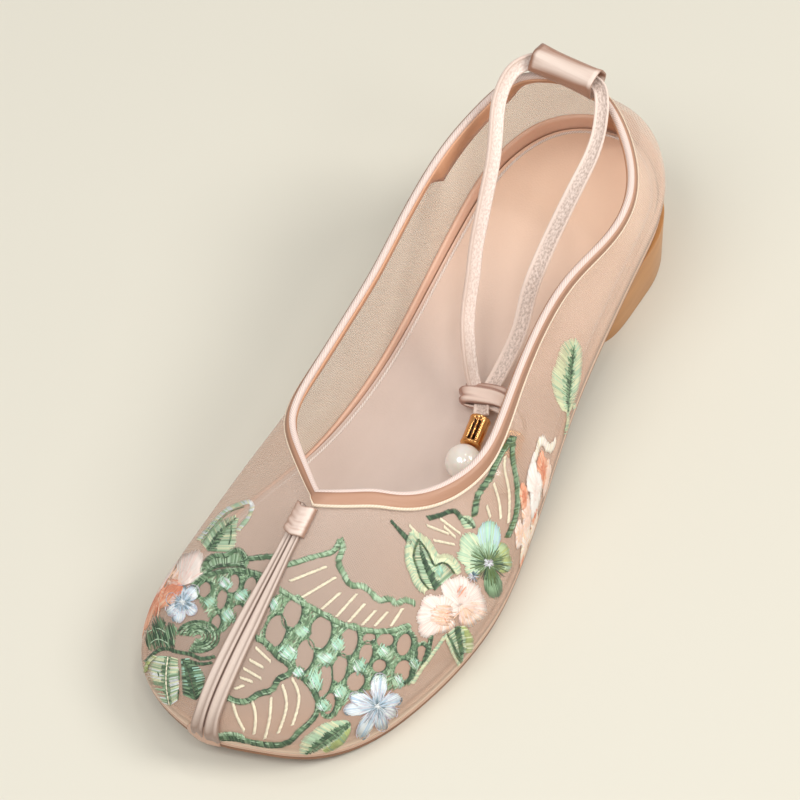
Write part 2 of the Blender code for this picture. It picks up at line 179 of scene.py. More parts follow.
def slopes(values, closed):
    """The slope of a smooth curve through evenly spaced values, at each of them."""
    n = len(values)
    a = np.zeros((n, n))
    b = np.zeros(n)
    for i in range(n):
        if closed or 0 < i < n - 1:
            a[i, i - 1] += 1
            a[i, i] += 4
            a[i, (i + 1) % n] += 1
            b[i] = 3 * (values[(i + 1) % n] - values[i - 1])
    if not closed:
        a[0, 0], a[0, 1], b[0] = 2, 1, 3 * (values[1] - values[0])
        a[-1, -1], a[-1, -2], b[-1] = 2, 1, 3 * (values[-1] - values[-2])
    return np.linalg.solve(a, b)


# Slopes by curve, so that each is worked out once
KNOWN_SLOPES = {}


def curve(values, u, closed=True):
    """The smooth curve through evenly spaced values, at row numbers u."""
    values = np.asarray(values, float)
    key = (values.tobytes(), closed)
    if key not in KNOWN_SLOPES:
        KNOWN_SLOPES[key] = slopes(values, closed)
    m = KNOWN_SLOPES[key]
    n = len(values)
    u = np.asarray(u, float)
    u = np.mod(u, n) if closed else np.clip(u, 0, n - 1)
    i = np.minimum(np.floor(u).astype(int), n - 1 if closed else n - 2)
    j = (i + 1) % n
    f = u - i
    return (
        (2 * f**3 - 3 * f**2 + 1) * values[i] + (f**3 - 2 * f**2 + f) * m[i]
        + (3 * f**2 - 2 * f**3) * values[j] + (f**3 - f**2) * m[j]
    )


def through(points, count):
    """A smooth line through points, as an array of count points."""
    points = np.array(points, float)
    u = np.linspace(0, len(points) - 1, count)
    return np.stack([curve(points[:, i], u, closed=False) for i in range(points.shape[1])], -1)


def topline(name, u):
    """A topline column at u. The line has a point at the throat, over the toe row."""
    v = COLUMN[name]
    v = np.concatenate([v[TOE_ROW:], v[: TOE_ROW + 1]])
    return curve(v, np.mod(np.asarray(u, float) - TOE_ROW, ROWS), closed=False)


def smooth(x):
    x = np.clip(x, 0.0, 1.0)
    return x * x * (3 - 2 * x)


def sole_under(y):
    """Height of the outsole's underside: toe spring, flat forefoot, rise to the heel seat."""
    y = np.asarray(y, float)
    spring = SPRING * np.clip((SPRING_FROM - y) / (SPRING_FROM - TOE_Y), 0, None) ** SPRING_POWER
    return spring + SEAT_RISE * smooth((y - RISE_FROM) / (RISE_TO - RISE_FROM))


def sole_top(y):
    return sole_under(y) + SOLE_THICK


def insole_top(y):
    return sole_top(y) + GAP + INSOLE_THICK


def outline(u, inset=0.0):
    """The sole's edge in plan at u, and the way out from it."""
    step = 0.02
    x, y = (curve(COLUMN[c], u) for c in ("sole_x", "sole_y"))
    dx, dy = (curve(COLUMN[c], u + step) - curve(COLUMN[c], u - step) for c in ("sole_x", "sole_y"))
    long = np.hypot(dx, dy)
    out = np.stack([dy / long, -dx / long], -1)
    return np.stack([x, y], -1) - inset * out, out


def wall(u, t):
    """The upper's outer face at u round the shoe and t up the wall, from the sole to the topline."""
    u, t = np.broadcast_arrays(np.asarray(u, float), np.asarray(t, float))
    foot, out = outline(u, LIP)
    low = np.concatenate([foot, (sole_top(foot[..., 1]) + GAP)[..., None]], -1)
    out = np.concatenate([out, np.zeros_like(out[..., :1])], -1)
    top = np.stack([topline(c, u) for c in ("top_x", "top_y", "top_z")], -1)
    inward = (top - low) * (1, 1, 0) - INWARD_PULL * out
    inward /= np.linalg.norm(inward, axis=-1, keepdims=True)
    slope = np.radians(curve(COLUMN["slope"], u))[..., None]
    swell = curve(COLUMN["swell"], u)[..., None]
    tall = (top - low)[..., 2:]
    far = np.linalg.norm(top - low, axis=-1, keepdims=True)
    first = low + swell * out + RISE_SHARE * tall * UP
    second = top - REACH_SHARE * far * (np.cos(slope) * inward + np.sin(slope) * UP)
    t = t[..., None]
    s = 1 - t
    return s**3 * low + 3 * s**2 * t * first + 3 * s * t**2 * second + t**3 * top


def facing(u, t):
    """The way out of the upper's outer face."""
    h = 0.01
    along = wall(u + h, t) - wall(u - h, t)
    high = np.minimum(np.asarray(t, float) + h, 1.0)
    deep = np.maximum(np.asarray(t, float) - h, 0.0)
    n = np.cross(along, wall(u, high) - wall(u, deep))
    return n / np.linalg.norm(n, axis=-1, keepdims=True)


def runs(points):
    """The distance along each line of points."""
    step = np.linalg.norm(np.diff(points, axis=-2), axis=-1)
    return np.concatenate([np.zeros_like(step[..., :1]), np.cumsum(step, -1)], -1)


# Fine steps up the wall, the lower half of them, and a place just under the topline
FINE = np.linspace(0.0, 1.0, 161)
LOWER_HALF = slice(80)
NEAR_TOP = 0.98


def share_at(u, depth):
    """How far up the wall t a point lies that is depth below the topline, for each u."""
    u, depth = np.broadcast_arrays(np.atleast_1d(np.asarray(u, float)), np.asarray(depth, float))
    run = runs(wall(u[:, None], FINE[None, :]))
    return np.array([np.interp(r[-1] - d, r, FINE) for r, d in zip(run, depth)])


def over_wall(u, depth, height):
    """Points depth below the topline and height off the wall's face. Past the edge they run on straight."""
    u = np.atleast_1d(np.asarray(u, float))
    t = share_at(u, max(depth, 0.0))
    p = wall(u, t) + height * facing(u, t)
    if depth < 0:
        end = wall(u, 1.0) - wall(u, NEAR_TOP)
        p = p - depth * end / np.linalg.norm(end, axis=-1, keepdims=True)
    return p


# Rows away from the front seam
SEAM_STEPS = np.linspace(0.0, 2.5, 51)


def beside_seam(t, away):
    """u at a distance away from the front seam, at t up the wall: inner side where away is negative."""
    side = 1 if away >= 0 else -1
    line = wall(TOE_ROW + side * SEAM_STEPS, np.full_like(SEAM_STEPS, t))
    return TOE_ROW + side * np.interp(abs(away), runs(line), SEAM_STEPS)


def over_seam(t, away, height):
    u = beside_seam(t, away)
    return wall(u, t) + height * facing(u, t)


# Meshes


def piece(name, verts, faces, mat, uvs=None, closed=True):
    """A piece from points in the sections' own measure. uvs has one pair for each face corner."""
    mesh = bpy.data.meshes.new(name)
    mesh.from_pydata(((np.asarray(verts, float) - MIDDLE) * MM).tolist(), [], faces)
    if uvs is not None:
        mesh.uv_layers.new(name="UVMap").data.foreach_set("uv", np.asarray(uvs, np.float32).ravel())
    mesh.materials.append(mat)
    if closed:
        bm = bmesh.new()
        bm.from_mesh(mesh)
        bmesh.ops.recalc_face_normals(bm, faces=bm.faces)
        bm.to_mesh(mesh)
        bm.free()
    mesh.polygons.foreach_set("use_smooth", np.ones(len(mesh.polygons), bool))
    ob = bpy.data.objects.new(name, mesh)
    bpy.context.scene.collection.objects.link(ob)
    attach(ob, "root")
    return ob


def sweep(name, rings, mat, closed=False, lengthwise=True):
    """A skin through rings of points, closed round on itself or capped. UVs are millimetres along, across.

    Without lengthwise, the two are exchanged, so cloth runs round the rings.
    """
    rings = np.asarray(rings, float)
    n, k = rings.shape[:2]
    along = runs(np.concatenate([rings, rings[:1]]).transpose(1, 0, 2)).mean(0)
    across = runs(np.concatenate([rings, rings[:, :1]], 1)).mean(0)
    faces, uvs = [], []
    for i in range(n if closed else n - 1):
        for j in range(k):
            a, b = i * k, (i + 1) % n * k
            faces.append((a + j, a + (j + 1) % k, b + (j + 1) % k, b + j))
            for di, dj in ((0, 0), (0, 1), (1, 1), (1, 0)):
                uvs.append((along[i + di], across[j + dj]))
    if not closed:
        for i in (0, n - 1):
            faces.append(tuple(range(i * k, i * k + k)))
            uvs.extend((along[i], across[j]) for j in range(k))
    uvs = uvs if lengthwise else [uv[::-1] for uv in uvs]
    return piece(name, rings.reshape(-1, 3), faces, mat, uvs)


def frames(line, facing_way):
    """Across and above at each point of a line, with above as near facing_way as it can be."""
    ahead = np.gradient(line, axis=0)
    ahead /= np.linalg.norm(ahead, axis=1, keepdims=True)
    across = np.cross(ahead, facing_way)
    across /= np.linalg.norm(across, axis=1, keepdims=True)
    return across, np.cross(across, ahead)


def along_line(name, line, section, mat, facing_way=(0, 0, 1), closed=False, shares=((0, 1), (1, 1))):
    """A section of (across, above) pairs carried along a line. shares are (place, share of the width)."""
    across, above = frames(line, facing_way)
    run = runs(line)
    across = across * np.interp(run / run[-1], *zip(*shares))[:, None]
    rings = [[p + a * q + b * r for a, b in section] for p, q, r in zip(line, across, above)]
    return sweep(name, rings, mat, closed)


def round_section(radius, sides=8):
    turns = 2 * np.pi * np.arange(sides) / sides
    return [(radius * math.cos(a), radius * math.sin(a)) for a in turns]


# Slabs: their raw height and the distance for merging points in metres, and how their rims are softened
SLAB = 0.01
MERGE = 0.00001
SOFT_FROM = math.radians(50)
SOFT_STEPS = 3


def plate(name, edge, under, over, mat, taper=None, cuts=40, soft=0.6):
    """A slab from a plan outline, cut across into strips, with softened rims."""
    bm = bmesh.new()
    face = bm.faces.new([bm.verts.new((x * MM, y * MM, 0.0)) for x, y in edge])
    grown = bmesh.ops.extrude_face_region(bm, geom=[face])
    for v in [g for g in grown["geom"] if isinstance(g, bmesh.types.BMVert)]:
        v.co.z = SLAB
    low, high = min(p[1] for p in edge), max(p[1] for p in edge)
    for y in np.linspace(low, high, cuts + 2)[1:-1]:
        bmesh.ops.bisect_plane(
            bm, geom=bm.verts[:] + bm.edges[:] + bm.faces[:], plane_co=(0, y * MM, 0), plane_no=(0, 1, 0)
        )
    for v in bm.verts:
        y = v.co.y / MM
        lower = v.co.z < SLAB / 2
        v.co.z = float(under(y) if lower else over(y)) * MM
        if taper and lower:
            centre, share = taper
            v.co.x = (centre[0] + (v.co.x / MM - centre[0]) * share) * MM
            v.co.y = (centre[1] + (y - centre[1]) * share) * MM
        v.co -= Vector(MIDDLE) * MM
    bmesh.ops.remove_doubles(bm, verts=bm.verts, dist=MERGE)
    bmesh.ops.recalc_face_normals(bm, faces=bm.faces)
    mesh = bpy.data.meshes.new(name)
    bm.to_mesh(mesh)
    bm.free()
    mesh.materials.append(mat)
    mesh.polygons.foreach_set("use_smooth", np.ones(len(mesh.polygons), bool))
    ob = bpy.data.objects.new(name, mesh)
    bpy.context.scene.collection.objects.link(ob)
    rim = ob.modifiers.new("rims", "BEVEL")
    rim.width = soft * MM
    rim.segments = SOFT_STEPS
    rim.limit_method = "ANGLE"
    rim.angle_limit = SOFT_FROM
    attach(ob, "root")
    return ob


# Materials


def shader(name, colour, rough, sockets=None):
    """A Principled material with constant sockets: the material, its tree and its shader."""
    mat = bpy.data.materials.new(name)
    mat.use_nodes = True
    bsdf = mat.node_tree.nodes["Principled BSDF"]
    bsdf.inputs["Base Color"].default_value = (*colour, 1.0)
    bsdf.inputs["Roughness"].default_value = rough
    for socket, value in (sockets or {}).items():
        bsdf.inputs[socket].default_value = value
    return mat, mat.node_tree, bsdf


def add(tree, kind, inputs=None, **settings):
    """A new node, with settings and inputs that are values or other nodes' outputs."""
    node = tree.nodes.new("ShaderNode" + kind)
    for key, value in settings.items():
        setattr(node, key, value)
    for key, value in (inputs or {}).items():
        if isinstance(value, bpy.types.NodeSocket):
            tree.links.new(value, node.inputs[key])
        else:
            node.inputs[key].default_value = value
    return node


def place(tree, output, scale=(1, 1, 1)):
    """Texture coordinates, stretched."""
    coord = add(tree, "TexCoord")
    return add(tree, "Mapping", {"Vector": coord.outputs[output], "Scale": scale}).outputs["Vector"]


NOISE_ROUGH = 0.55


def noise(tree, vector, scale, detail):
    inputs = {"Vector": vector, "Scale": scale, "Detail": detail, "Roughness": NOISE_ROUGH}
    return add(tree, "TexNoise", inputs).outputs["Fac"]


def math_node(tree, operation, a, b=0.5, c=0.5):
    made = add(tree, "Math", {0: a, 1: b, 2: c}, operation=operation)
    return made.outputs["Value"]


def ramp(tree, factor, stops):
    """Colours along a factor: stops are (place, colour)."""
    made = add(tree, "ValToRGB", {"Fac": factor})
    marks = made.color_ramp.elements
    while len(marks) < len(stops):
        marks.new(0.5)
    for mark, (place_at, colour) in zip(marks, stops):
        mark.position = place_at
        mark.color = (*colour, 1.0)
    return made.outputs["Color"]


def bump(tree, bsdf, height, strength, distance):
    made = add(tree, "Bump", {"Height": height, "Strength": strength, "Distance": distance})
    tree.links.new(made.outputs["Normal"], bsdf.inputs["Normal"])


def fade(tree, value, low, high):
    """1 below low, 0 above high."""
    limits = {"Value": value, "From Min": low, "From Max": high, "To Min": 1.0, "To Max": 0.0}
    return add(tree, "MapRange", limits).outputs["Result"]


def paint(tree, bsdf, colour):
    tree.links.new(colour, bsdf.inputs["Base Color"])


def mix(tree, factor, first, second):
    """The first colour where the factor is 0, the second where it is 1. Each is an output or a colour."""
    ends = [c if isinstance(c, bpy.types.NodeSocket) else (*c, 1.0) for c in (first, second)]
    return add(tree, "MixRGB", {"Fac": factor, "Color1": ends[0], "Color2": ends[1]}).outputs["Color"]


def one_way(tree, vector, axis):
    """One coordinate of a vector."""
    return add(tree, "SeparateXYZ", {"Vector": vector}).outputs[axis]


# Satin: which way it faces where its painted highlight is palest, between which turns it fades to
# painted shade, and how much that counts beside streaks
SATIN_PAINTED_SHEEN_WAY = (0.30, -0.45, 0.84)
SATIN_PAINTED_SHEEN_TURN = (0.56, 0.97)
SATIN_PAINTED_SHEEN_SHARE = 0.64


def satin(name, dark, light, rough=0.34):
    """Satin: fine threads along it, a painted highlight where it faces up and forward, painted shade where it
    turns away, deeper in streaks.
    """
    mat, tree, bsdf = shader(name, light, rough, {"Anisotropic": 0.5, "Sheen Weight": 0.15})
    weave = add(tree, "Tangent", direction_type="UV_MAP", uv_map="UVMap")
    tree.links.new(weave.outputs["Tangent"], bsdf.inputs["Tangent"])
    streaks = noise(tree, place(tree, "UV", (0.035, 0.9, 1.0)), scale=1.0, detail=4.0)
    # Painted highlight and shade: paler where the satin faces the lamps and the eye, darker where it turns
    # away
    facing_it = {0: add(tree, "TexCoord").outputs["Normal"], 1: SATIN_PAINTED_SHEEN_WAY}
    painted_sheen = add(tree, "VectorMath", facing_it, operation="DOT_PRODUCT").outputs["Value"]
    painted_sheen = math_node(tree, "SUBTRACT", 1.0, fade(tree, painted_sheen, *SATIN_PAINTED_SHEEN_TURN))
    streaked = math_node(tree, "MULTIPLY", streaks, 1 - SATIN_PAINTED_SHEEN_SHARE)
    sheen_and_streaks = math_node(tree, "MULTIPLY_ADD", painted_sheen, SATIN_PAINTED_SHEEN_SHARE, streaked)
    paint(tree, bsdf, ramp(tree, sheen_and_streaks, ((0.25, dark), (0.8, light))))
    threads = noise(tree, place(tree, "UV", (0.25, 7.0, 1.0)), scale=1.0, detail=2.0)
    bump(tree, bsdf, threads, strength=0.35, distance=0.0003)
    return mat


# The tie's woven middle: where it lies round the ribbon, its half width and the half of its soft edge, in mm
BRAID_MIDDLE = 3.4
BRAID_HALF = 1.7
BRAID_SOFT = 0.25


def braid(name, edge, dark, light):
    """A flat woven tie: plain pale edges and a mottled middle. UVs are millimetres along and round it."""
    mat, tree, bsdf = shader(name, light, 0.4, {"Sheen Weight": 0.2})
    across = one_way(tree, add(tree, "TexCoord").outputs["UV"], "Y")
    off = math_node(tree, "ABSOLUTE", math_node(tree, "SUBTRACT", across, BRAID_MIDDLE))
    inside = fade(tree, off, BRAID_HALF - BRAID_SOFT, BRAID_HALF + BRAID_SOFT)
    mottle = noise(tree, place(tree, "UV", (1.1, 1.7, 1.0)), scale=1.0, detail=2.0)
    cloth = ramp(tree, mottle, ((0.36, dark), (0.62, light)))
    paint(tree, bsdf, mix(tree, inside, edge, cloth))
    bump(tree, bsdf, mottle, strength=0.4, distance=0.0004)
    return mat


# A cord's twist: how far its lines slant in radians and how close they lie
TWIST_SLANT = 0.9
TWIST_SCALE = 0.55


def twisted(name, dark, light):
    """A fine cord with slanting twist lines."""
    mat, tree, bsdf = shader(name, light, 0.42, {"Sheen Weight": 0.2})
    coords = add(tree, "TexCoord").outputs["UV"]
    slanted = add(tree, "Mapping", {"Vector": coords, "Rotation": (0, 0, TWIST_SLANT)}).outputs["Vector"]
    wave = {"Vector": slanted, "Scale": TWIST_SCALE, "Distortion": 0.0}
    twist = add(tree, "TexWave", wave, bands_direction="X", wave_profile="SIN").outputs["Fac"]
    paint(tree, bsdf, ramp(tree, twist, ((0.1, dark), (0.6, light))))
    bump(tree, bsdf, twist, strength=0.5, distance=0.0003)
    return mat


# Mesh: which ways its threads run, their pitch, half width and soft edge in mm, and how solid
# thread, hole and hem are
NET_WAYS = ((0.60, 0.70, 0.40), (-0.70, 0.35, 0.62))
NET_PITCH = 0.5
NET_HALF = 0.06
NET_EDGE = 0.13
NET_THREAD = 0.50
NET_HOLE = 0.27
NET_HEM = 0.9
# Its darker colour painted as shade where it faces up, from which turn on and how much; a deeper colour
# painted towards the toe as the shade of the inside seen through, between which places along the shoe in
# metres; and its colour at its hem, partly the doubled mesh's own peach and partly a painted highlight where
# the wall curves under, between which heights in mm
NET_PAINTED_TOP_SHADE = (0.56, 0.46, 0.39)
NET_PAINTED_TOP_SHADE_FROM = (0.6, 0.92)
NET_PAINTED_TOP_SHADE_SHARE = 0.75
NET_PAINTED_FRONT_SHADE = (0.58, 0.35, 0.245)
NET_PAINTED_FRONT_SHADE_TO = (0.025, 0.085)
HEM_COLOUR_AND_HIGHLIGHT = (0.88, 0.65, 0.49)
HEM_FADE = (1.2, 6.5)


def net(name, deep, light, front=None):
    """Sheer mesh: fine threads that cross, see-through between them, doubled into a hem at the foot,
    with painted shade where it faces up and a painted highlight on its hem.

    front: a deeper colour painted towards the toe, the shade of the inside seen through the mesh.
    """
    mat, tree, bsdf = shader(name, light, 0.62, {"Sheen Weight": 0.25})
    coords = add(tree, "TexCoord")
    lines = []
    for way in NET_WAYS:
        along = add(tree, "VectorMath", {0: coords.outputs["Object"], 1: way}, operation="DOT_PRODUCT")
        off = math_node(tree, "PINGPONG", along.outputs["Value"], NET_PITCH * MM / 2)
        lines.append(fade(tree, off, NET_HALF * MM, NET_EDGE * MM))
    threads = math_node(tree, "MAXIMUM", *lines)
    # The hem: more solid where the mesh is doubled, and its peach band partly a painted highlight where the
    # wall curves under
    hem = fade(tree, one_way(tree, coords.outputs["UV"], "Y"), *HEM_FADE)
    # Painted shade: darker where the mesh faces up
    painted_top_shade = fade(tree, one_way(tree, coords.outputs["Normal"], "Z"), *NET_PAINTED_TOP_SHADE_FROM)
    painted_top_shade = math_node(tree, "MULTIPLY", math_node(tree, "SUBTRACT", 1.0, painted_top_shade), NET_PAINTED_TOP_SHADE_SHARE)
    cloud = noise(tree, place(tree, "Object"), scale=60.0, detail=3.0)
    cloth = ramp(tree, cloud, ((0.3, deep), (0.7, light)))
    # Painted shade towards the toe, where the shaded inside shows through the mesh
    if front:
        ahead = fade(tree, one_way(tree, coords.outputs["Object"], "Y"), *NET_PAINTED_FRONT_SHADE_TO)
        cloth = mix(tree, ahead, cloth, front)
    cloth = mix(tree, painted_top_shade, cloth, NET_PAINTED_TOP_SHADE)
    paint(tree, bsdf, mix(tree, hem, cloth, HEM_COLOUR_AND_HIGHLIGHT))
    sheer = math_node(tree, "MULTIPLY_ADD", threads, NET_THREAD - NET_HOLE, NET_HOLE)
    alpha = math_node(tree, "MAXIMUM", sheer, math_node(tree, "MULTIPLY", hem, NET_HEM))
    tree.links.new(alpha, bsdf.inputs["Alpha"])
    bump(tree, bsdf, threads, strength=0.2, distance=0.0002)
    return mat


# Between which places along the shoe the footbed takes painted warm light towards the heel, in metres
PAINTED_HEEL_LIGHT_FROM = (0.02, 0.085)


def leather(name, dark, light, rough, grain, back=None):
    """Fine-grained leather: small pebbles and soft clouds of colour. back: warm light painted towards the
    heel.
    """
    mat, tree, bsdf = shader(name, light, rough)
    cloud = noise(tree, place(tree, "Object", (1, 0.5, 1)), scale=45.0, detail=5.0)
    colour = ramp(tree, cloud, ((0.32, dark), (0.66, light)))
    # Painted light: warmer and lighter towards the heel
    if back:
        along = one_way(tree, add(tree, "TexCoord").outputs["Object"], "Y")
        colour = mix(tree, fade(tree, along, *PAINTED_HEEL_LIGHT_FROM), back, colour)
    paint(tree, bsdf, colour)
    pebbles = add(tree, "TexVoronoi", {"Vector": place(tree, "Object"), "Scale": grain})
    bump(tree, bsdf, pebbles.outputs["Distance"], strength=0.12, distance=0.0003)
    return mat


def rubber(name, dark, light, rough):
    """Smooth sole material with faint lengthwise trimming marks."""
    mat, tree, bsdf = shader(name, light, rough, {"Coat Weight": 0.25, "Coat Roughness": 0.25})
    cloud = noise(tree, place(tree, "Object", (0.6, 0.6, 2.5)), scale=70.0, detail=5.0)
    paint(tree, bsdf, ramp(tree, cloud, ((0.3, dark), (0.7, light))))
    marks = noise(tree, place(tree, "Object", (0.2, 0.2, 6.0)), scale=180.0, detail=2.0)
    bump(tree, bsdf, marks, strength=0.15, distance=0.0003)
    return mat


def gold(name, dark, light):
    """Polished metal with faint scuffs."""
    mat, tree, bsdf = shader(name, light, 0.2, {"Metallic": 1.0})
    scuffs = noise(tree, place(tree, "Object"), scale=420.0, detail=3.0)
    paint(tree, bsdf, ramp(tree, scuffs, ((0.3, dark), (0.7, light))))
    bump(tree, bsdf, scuffs, strength=0.02, distance=0.0001)
    return mat


NACRE = {
    "Coat Weight": 0.9, "Coat Roughness": 0.03, "Coat IOR": 2.3, "Subsurface Weight": 0.15,
    "Subsurface Scale": 0.002, "Sheen Weight": 0.2,
}


def nacre(name, middle, dark, light):
    """Pearl: a clear deep gloss over faint bands."""
    mat, tree, bsdf = shader(name, middle, 0.32, NACRE)
    bands = noise(tree, place(tree, "Object", (1, 1, 2)), scale=160.0, detail=2.0)
    paint(tree, bsdf, ramp(tree, bands, ((0.3, dark), (0.7, light))))
    return mat


MESH = net("nude_mesh", (0.82, 0.61, 0.50), (0.90, 0.70, 0.58), NET_PAINTED_FRONT_SHADE)
# A lighter copy of the mesh for the wall's inner face: painted light on the shaded inside
MESH_INSIDE_PAINTED_LIGHT = net("nude_mesh_inside_painted_light", (0.93, 0.80, 0.66), (0.98, 0.88, 0.75))
# Every satin below takes the painted highlight and shade of satin()
SATIN = satin("rose_satin", (0.44, 0.26, 0.19), (0.86, 0.71, 0.63))
CORD_SATIN = satin("cord_satin", (0.33, 0.22, 0.175), (0.66, 0.54, 0.47))
KNOT_SATIN = satin("knot_satin", (0.38, 0.20, 0.15), (0.84, 0.66, 0.57))
TUNNEL_SATIN = satin("tunnel_sheen", (0.36, 0.18, 0.115), (0.80, 0.66, 0.58))
BRAID = braid("rose_braid", (0.84, 0.69, 0.61), (0.50, 0.38, 0.32), (0.78, 0.64, 0.57))
# A copy of the braid, paler in its middle, for the inner half of the tie, which lies in shade: painted light
BRAID_PAINTED_LIGHT = braid("braid_painted_light", (0.76, 0.60, 0.52), (0.72, 0.57, 0.50), (0.90, 0.77, 0.70))
PEACH_SATIN = satin("peach_satin", (0.62, 0.38, 0.27), (0.86, 0.62, 0.49))
TAPE = satin("tan_satin", (0.33, 0.165, 0.10), (0.49, 0.27, 0.175), 0.4)
WELT = twisted("footbed_thread", (0.66, 0.52, 0.46), (0.94, 0.86, 0.80))
PIPING = twisted("pale_piping", (0.74, 0.55, 0.48), (0.90, 0.76, 0.70))
CREAM_PIPING = twisted("cream_piping", (0.84, 0.66, 0.50), (0.92, 0.80, 0.64))
STAY = satin("stay_satin", (0.50, 0.24, 0.13), (0.70, 0.38, 0.23), 0.45)
STRIP_TAN = leather("strip_lining", (0.77, 0.49, 0.36), (0.86, 0.58, 0.45), 0.6, 1500.0)
# The footbed's last colour is warm light painted towards the heel
FOOTBED = leather("footbed_leather", (0.66, 0.54, 0.48), (0.72, 0.60, 0.54), 0.6, 1500.0, (0.90, 0.66, 0.51))
CARAMEL = rubber("caramel_sole", (0.22, 0.09, 0.04), (0.32, 0.14, 0.06), 0.45)
HEEL = rubber("caramel_heel", (0.41, 0.18, 0.05), (0.50, 0.23, 0.07), 0.4)
GOLD = gold("gold", (0.68, 0.33, 0.11), (0.86, 0.49, 0.20))
# Near-black gold for the caps' grooves: a painted dark reflection
SLOT_PAINTED_REFLECTION = gold("gold_slot_painted_reflection", (0.045, 0.02, 0.012), (0.07, 0.03, 0.016))
PEARL = nacre("pearl", (0.90, 0.85, 0.76), (0.90, 0.84, 0.75), (0.95, 0.92, 0.86))


# Sole, heel and footbed


def rows_round(count):
    """Row numbers at even steps round the shoe."""
    return np.arange(count) * ROWS / count


around = rows_round(180)
outsole = plate("outsole_trimmed", outline(around)[0], sole_under, sole_top, CARAMEL, soft=0.7)
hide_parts("outsole")
FOOTBED_INSET = LIP + WALL + GAP
footbed = plate(
    "footbed", outline(around, FOOTBED_INSET)[0], lambda y: sole_top(y) + GAP, insole_top, FOOTBED, soft=0.4
)
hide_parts("insole")


def heel_edge(count=96):
    edge = []
    for turn in 2 * np.pi * np.arange(count) / count:
        c, s = math.cos(turn), math.sin(turn)
        power = 1.0 if s >= 0 else HEEL_SQUARE
        x = HEEL_CENTRE[0] + HEEL_HALF_WIDTH * math.copysign(abs(c) ** power, c)
        y = HEEL_CENTRE[1] + (HEEL_BACK if s >= 0 else HEEL_FRONT) * math.copysign(abs(s) ** power, s)
        edge.append((x, y))
    return edge


heel = plate(
    "heel_block", heel_edge(), lambda y: 0.0, lambda y: sole_under(y) - GAP, HEEL,
    taper=(HEEL_CENTRE, HEEL_TAPER), cuts=12,
)
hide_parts("heel")

# A stitched line just inside the footbed's edge
WELT_IN = 1.5
WELT_R = 0.46
WELT_RISE = 0.1
welt, _ = outline(around, FOOTBED_INSET + WELT_IN)
welt = np.concatenate([welt, insole_top(welt[:, 1])[:, None] + WELT_RISE], 1)
along_line("footbed_stitching", welt, round_section(WELT_R, 6), WELT, closed=True)

# Upper: a thin sheet of mesh over the whole wall
SHEET = 0.25
fine_around = rows_round(300)
rises = np.linspace(0.0, 1.0, 41)
grid_u, grid_t = np.meshgrid(fine_around, rises, indexing="ij")
outer = wall(grid_u, grid_t)
inner = outer - SHEET * facing(grid_u, grid_t)
upper = sweep("mesh_upper", np.concatenate([outer, inner[:, ::-1]], 1), MESH, closed=True)
# The wall's inner face takes the lighter copy of the mesh: painted light
upper.data.materials.append(MESH_INSIDE_PAINTED_LIGHT)
inside = np.arange(len(upper.data.polygons)) % (2 * len(rises)) >= len(rises)
upper.data.polygons.foreach_set("material_index", inside.astype(np.int32))
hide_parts("upper")

# The mesh's turned hem, pulled over the sole's upper edge: height over the sole's top, how far out
HEM = ((-1.5, -0.36), (-1.2, -0.14), (0.0, 0.06), (0.5, -0.06), (0.5, -0.25), (-1.5, -0.5))
hem_rings = []
for high, out_by in HEM:
    edge, _ = outline(fine_around, LIP - out_by)
    hem_rings.append(np.concatenate([edge, (sole_top(edge[:, 1]) + high)[:, None]], 1))
sweep("mesh_hem", np.stack(hem_rings, 1), PEACH_SATIN, closed=True)

# A tan strip inside the foot of the wall: row, height over the footbed
STRIP = (
    (0, 4.6), (2, 4.6), (3, 3.8), (4, 2.8), (6, 1.7), (7, 0.7), (8, -0.7), (15, -0.7), (22, -0.7), (23, 0.6),
    (24, 1.8), (26, 3.2), (27, 4.2), (28, 4.6), (30, 4.6),
)
STRIP_FROM = -1.2
STRIP_IN = 0.45
STRIP_THICK = 1.1


def strip_rings():
    """A low band that follows the wall's inner face, from below the footbed's top."""
    tall = np.interp(fine_around, *zip(*STRIP))
    rings = []
    for u, high in zip(fine_around, tall):
        line = wall(np.full_like(FINE, u), FINE)
        over = line[:, 2] - insole_top(line[:, 1])
        t = np.interp(np.linspace(STRIP_FROM, high, 6), over[LOWER_HALF], FINE[LOWER_HALF])
        face, n = wall(np.full_like(t, u), t), facing(np.full_like(t, u), t)
        rings.append(np.concatenate([face - STRIP_IN * n, (face - (STRIP_IN + STRIP_THICK) * n)[::-1]]))
    return rings


sweep("lasting_strip", strip_rings(), STRIP_TAN, closed=True)

# Binding folded over the topline: outer band, facing on the inside, a round top edge and a fine low edge.
# Sections are (depth below the topline, height off the wall). BAND_DEEP and FACING are (row, how far those
# depths stretch), FACING_LEAN is (row, how far in it hangs for each millimetre down).
BAND = (
    (3.3, 0.2), (3.6, 0.5), (3.3, 0.95), (2.4, 0.95), (1.4, 1.0), (0.5, 1.05), (-0.5, 0.9), (-1.0, 0.2),
    (-1.0, -0.8), (0.0, -0.9), (0.0, 0.2),
)
FACING = (
    (0.0, 0.7), (1.2, 0.8), (2.0, 4.0), (4.25, 4.6), (4.35, 1.9), (8.0, 1.4), (15.0, 1.2), (22.0, 1.3),
    (26.0, 1.4), (27.5, 0.8), (30.0, 0.7),
)
FACING_LEAN = ((0.0, 0.0), (1.6, 0.0), (2.2, 0.5), (4.25, 0.55), (4.35, 0.0), (30.0, 0.0))
FACING_SECTION = ((-1.0, -1.3), (-0.6, -2.1), (0.6, -2.2), (1.0, -1.9), (1.0, -1.5), (0.2, -1.3))
BAND_DEEP = (
    (0.0, 0.36), (12.0, 0.3), (14.9, 0.26), (15.3, 1.0), (20.5, 1.0), (22.5, 0.75), (24.0, 0.5), (26.0, 0.36),
    (30.0, 0.36),
)
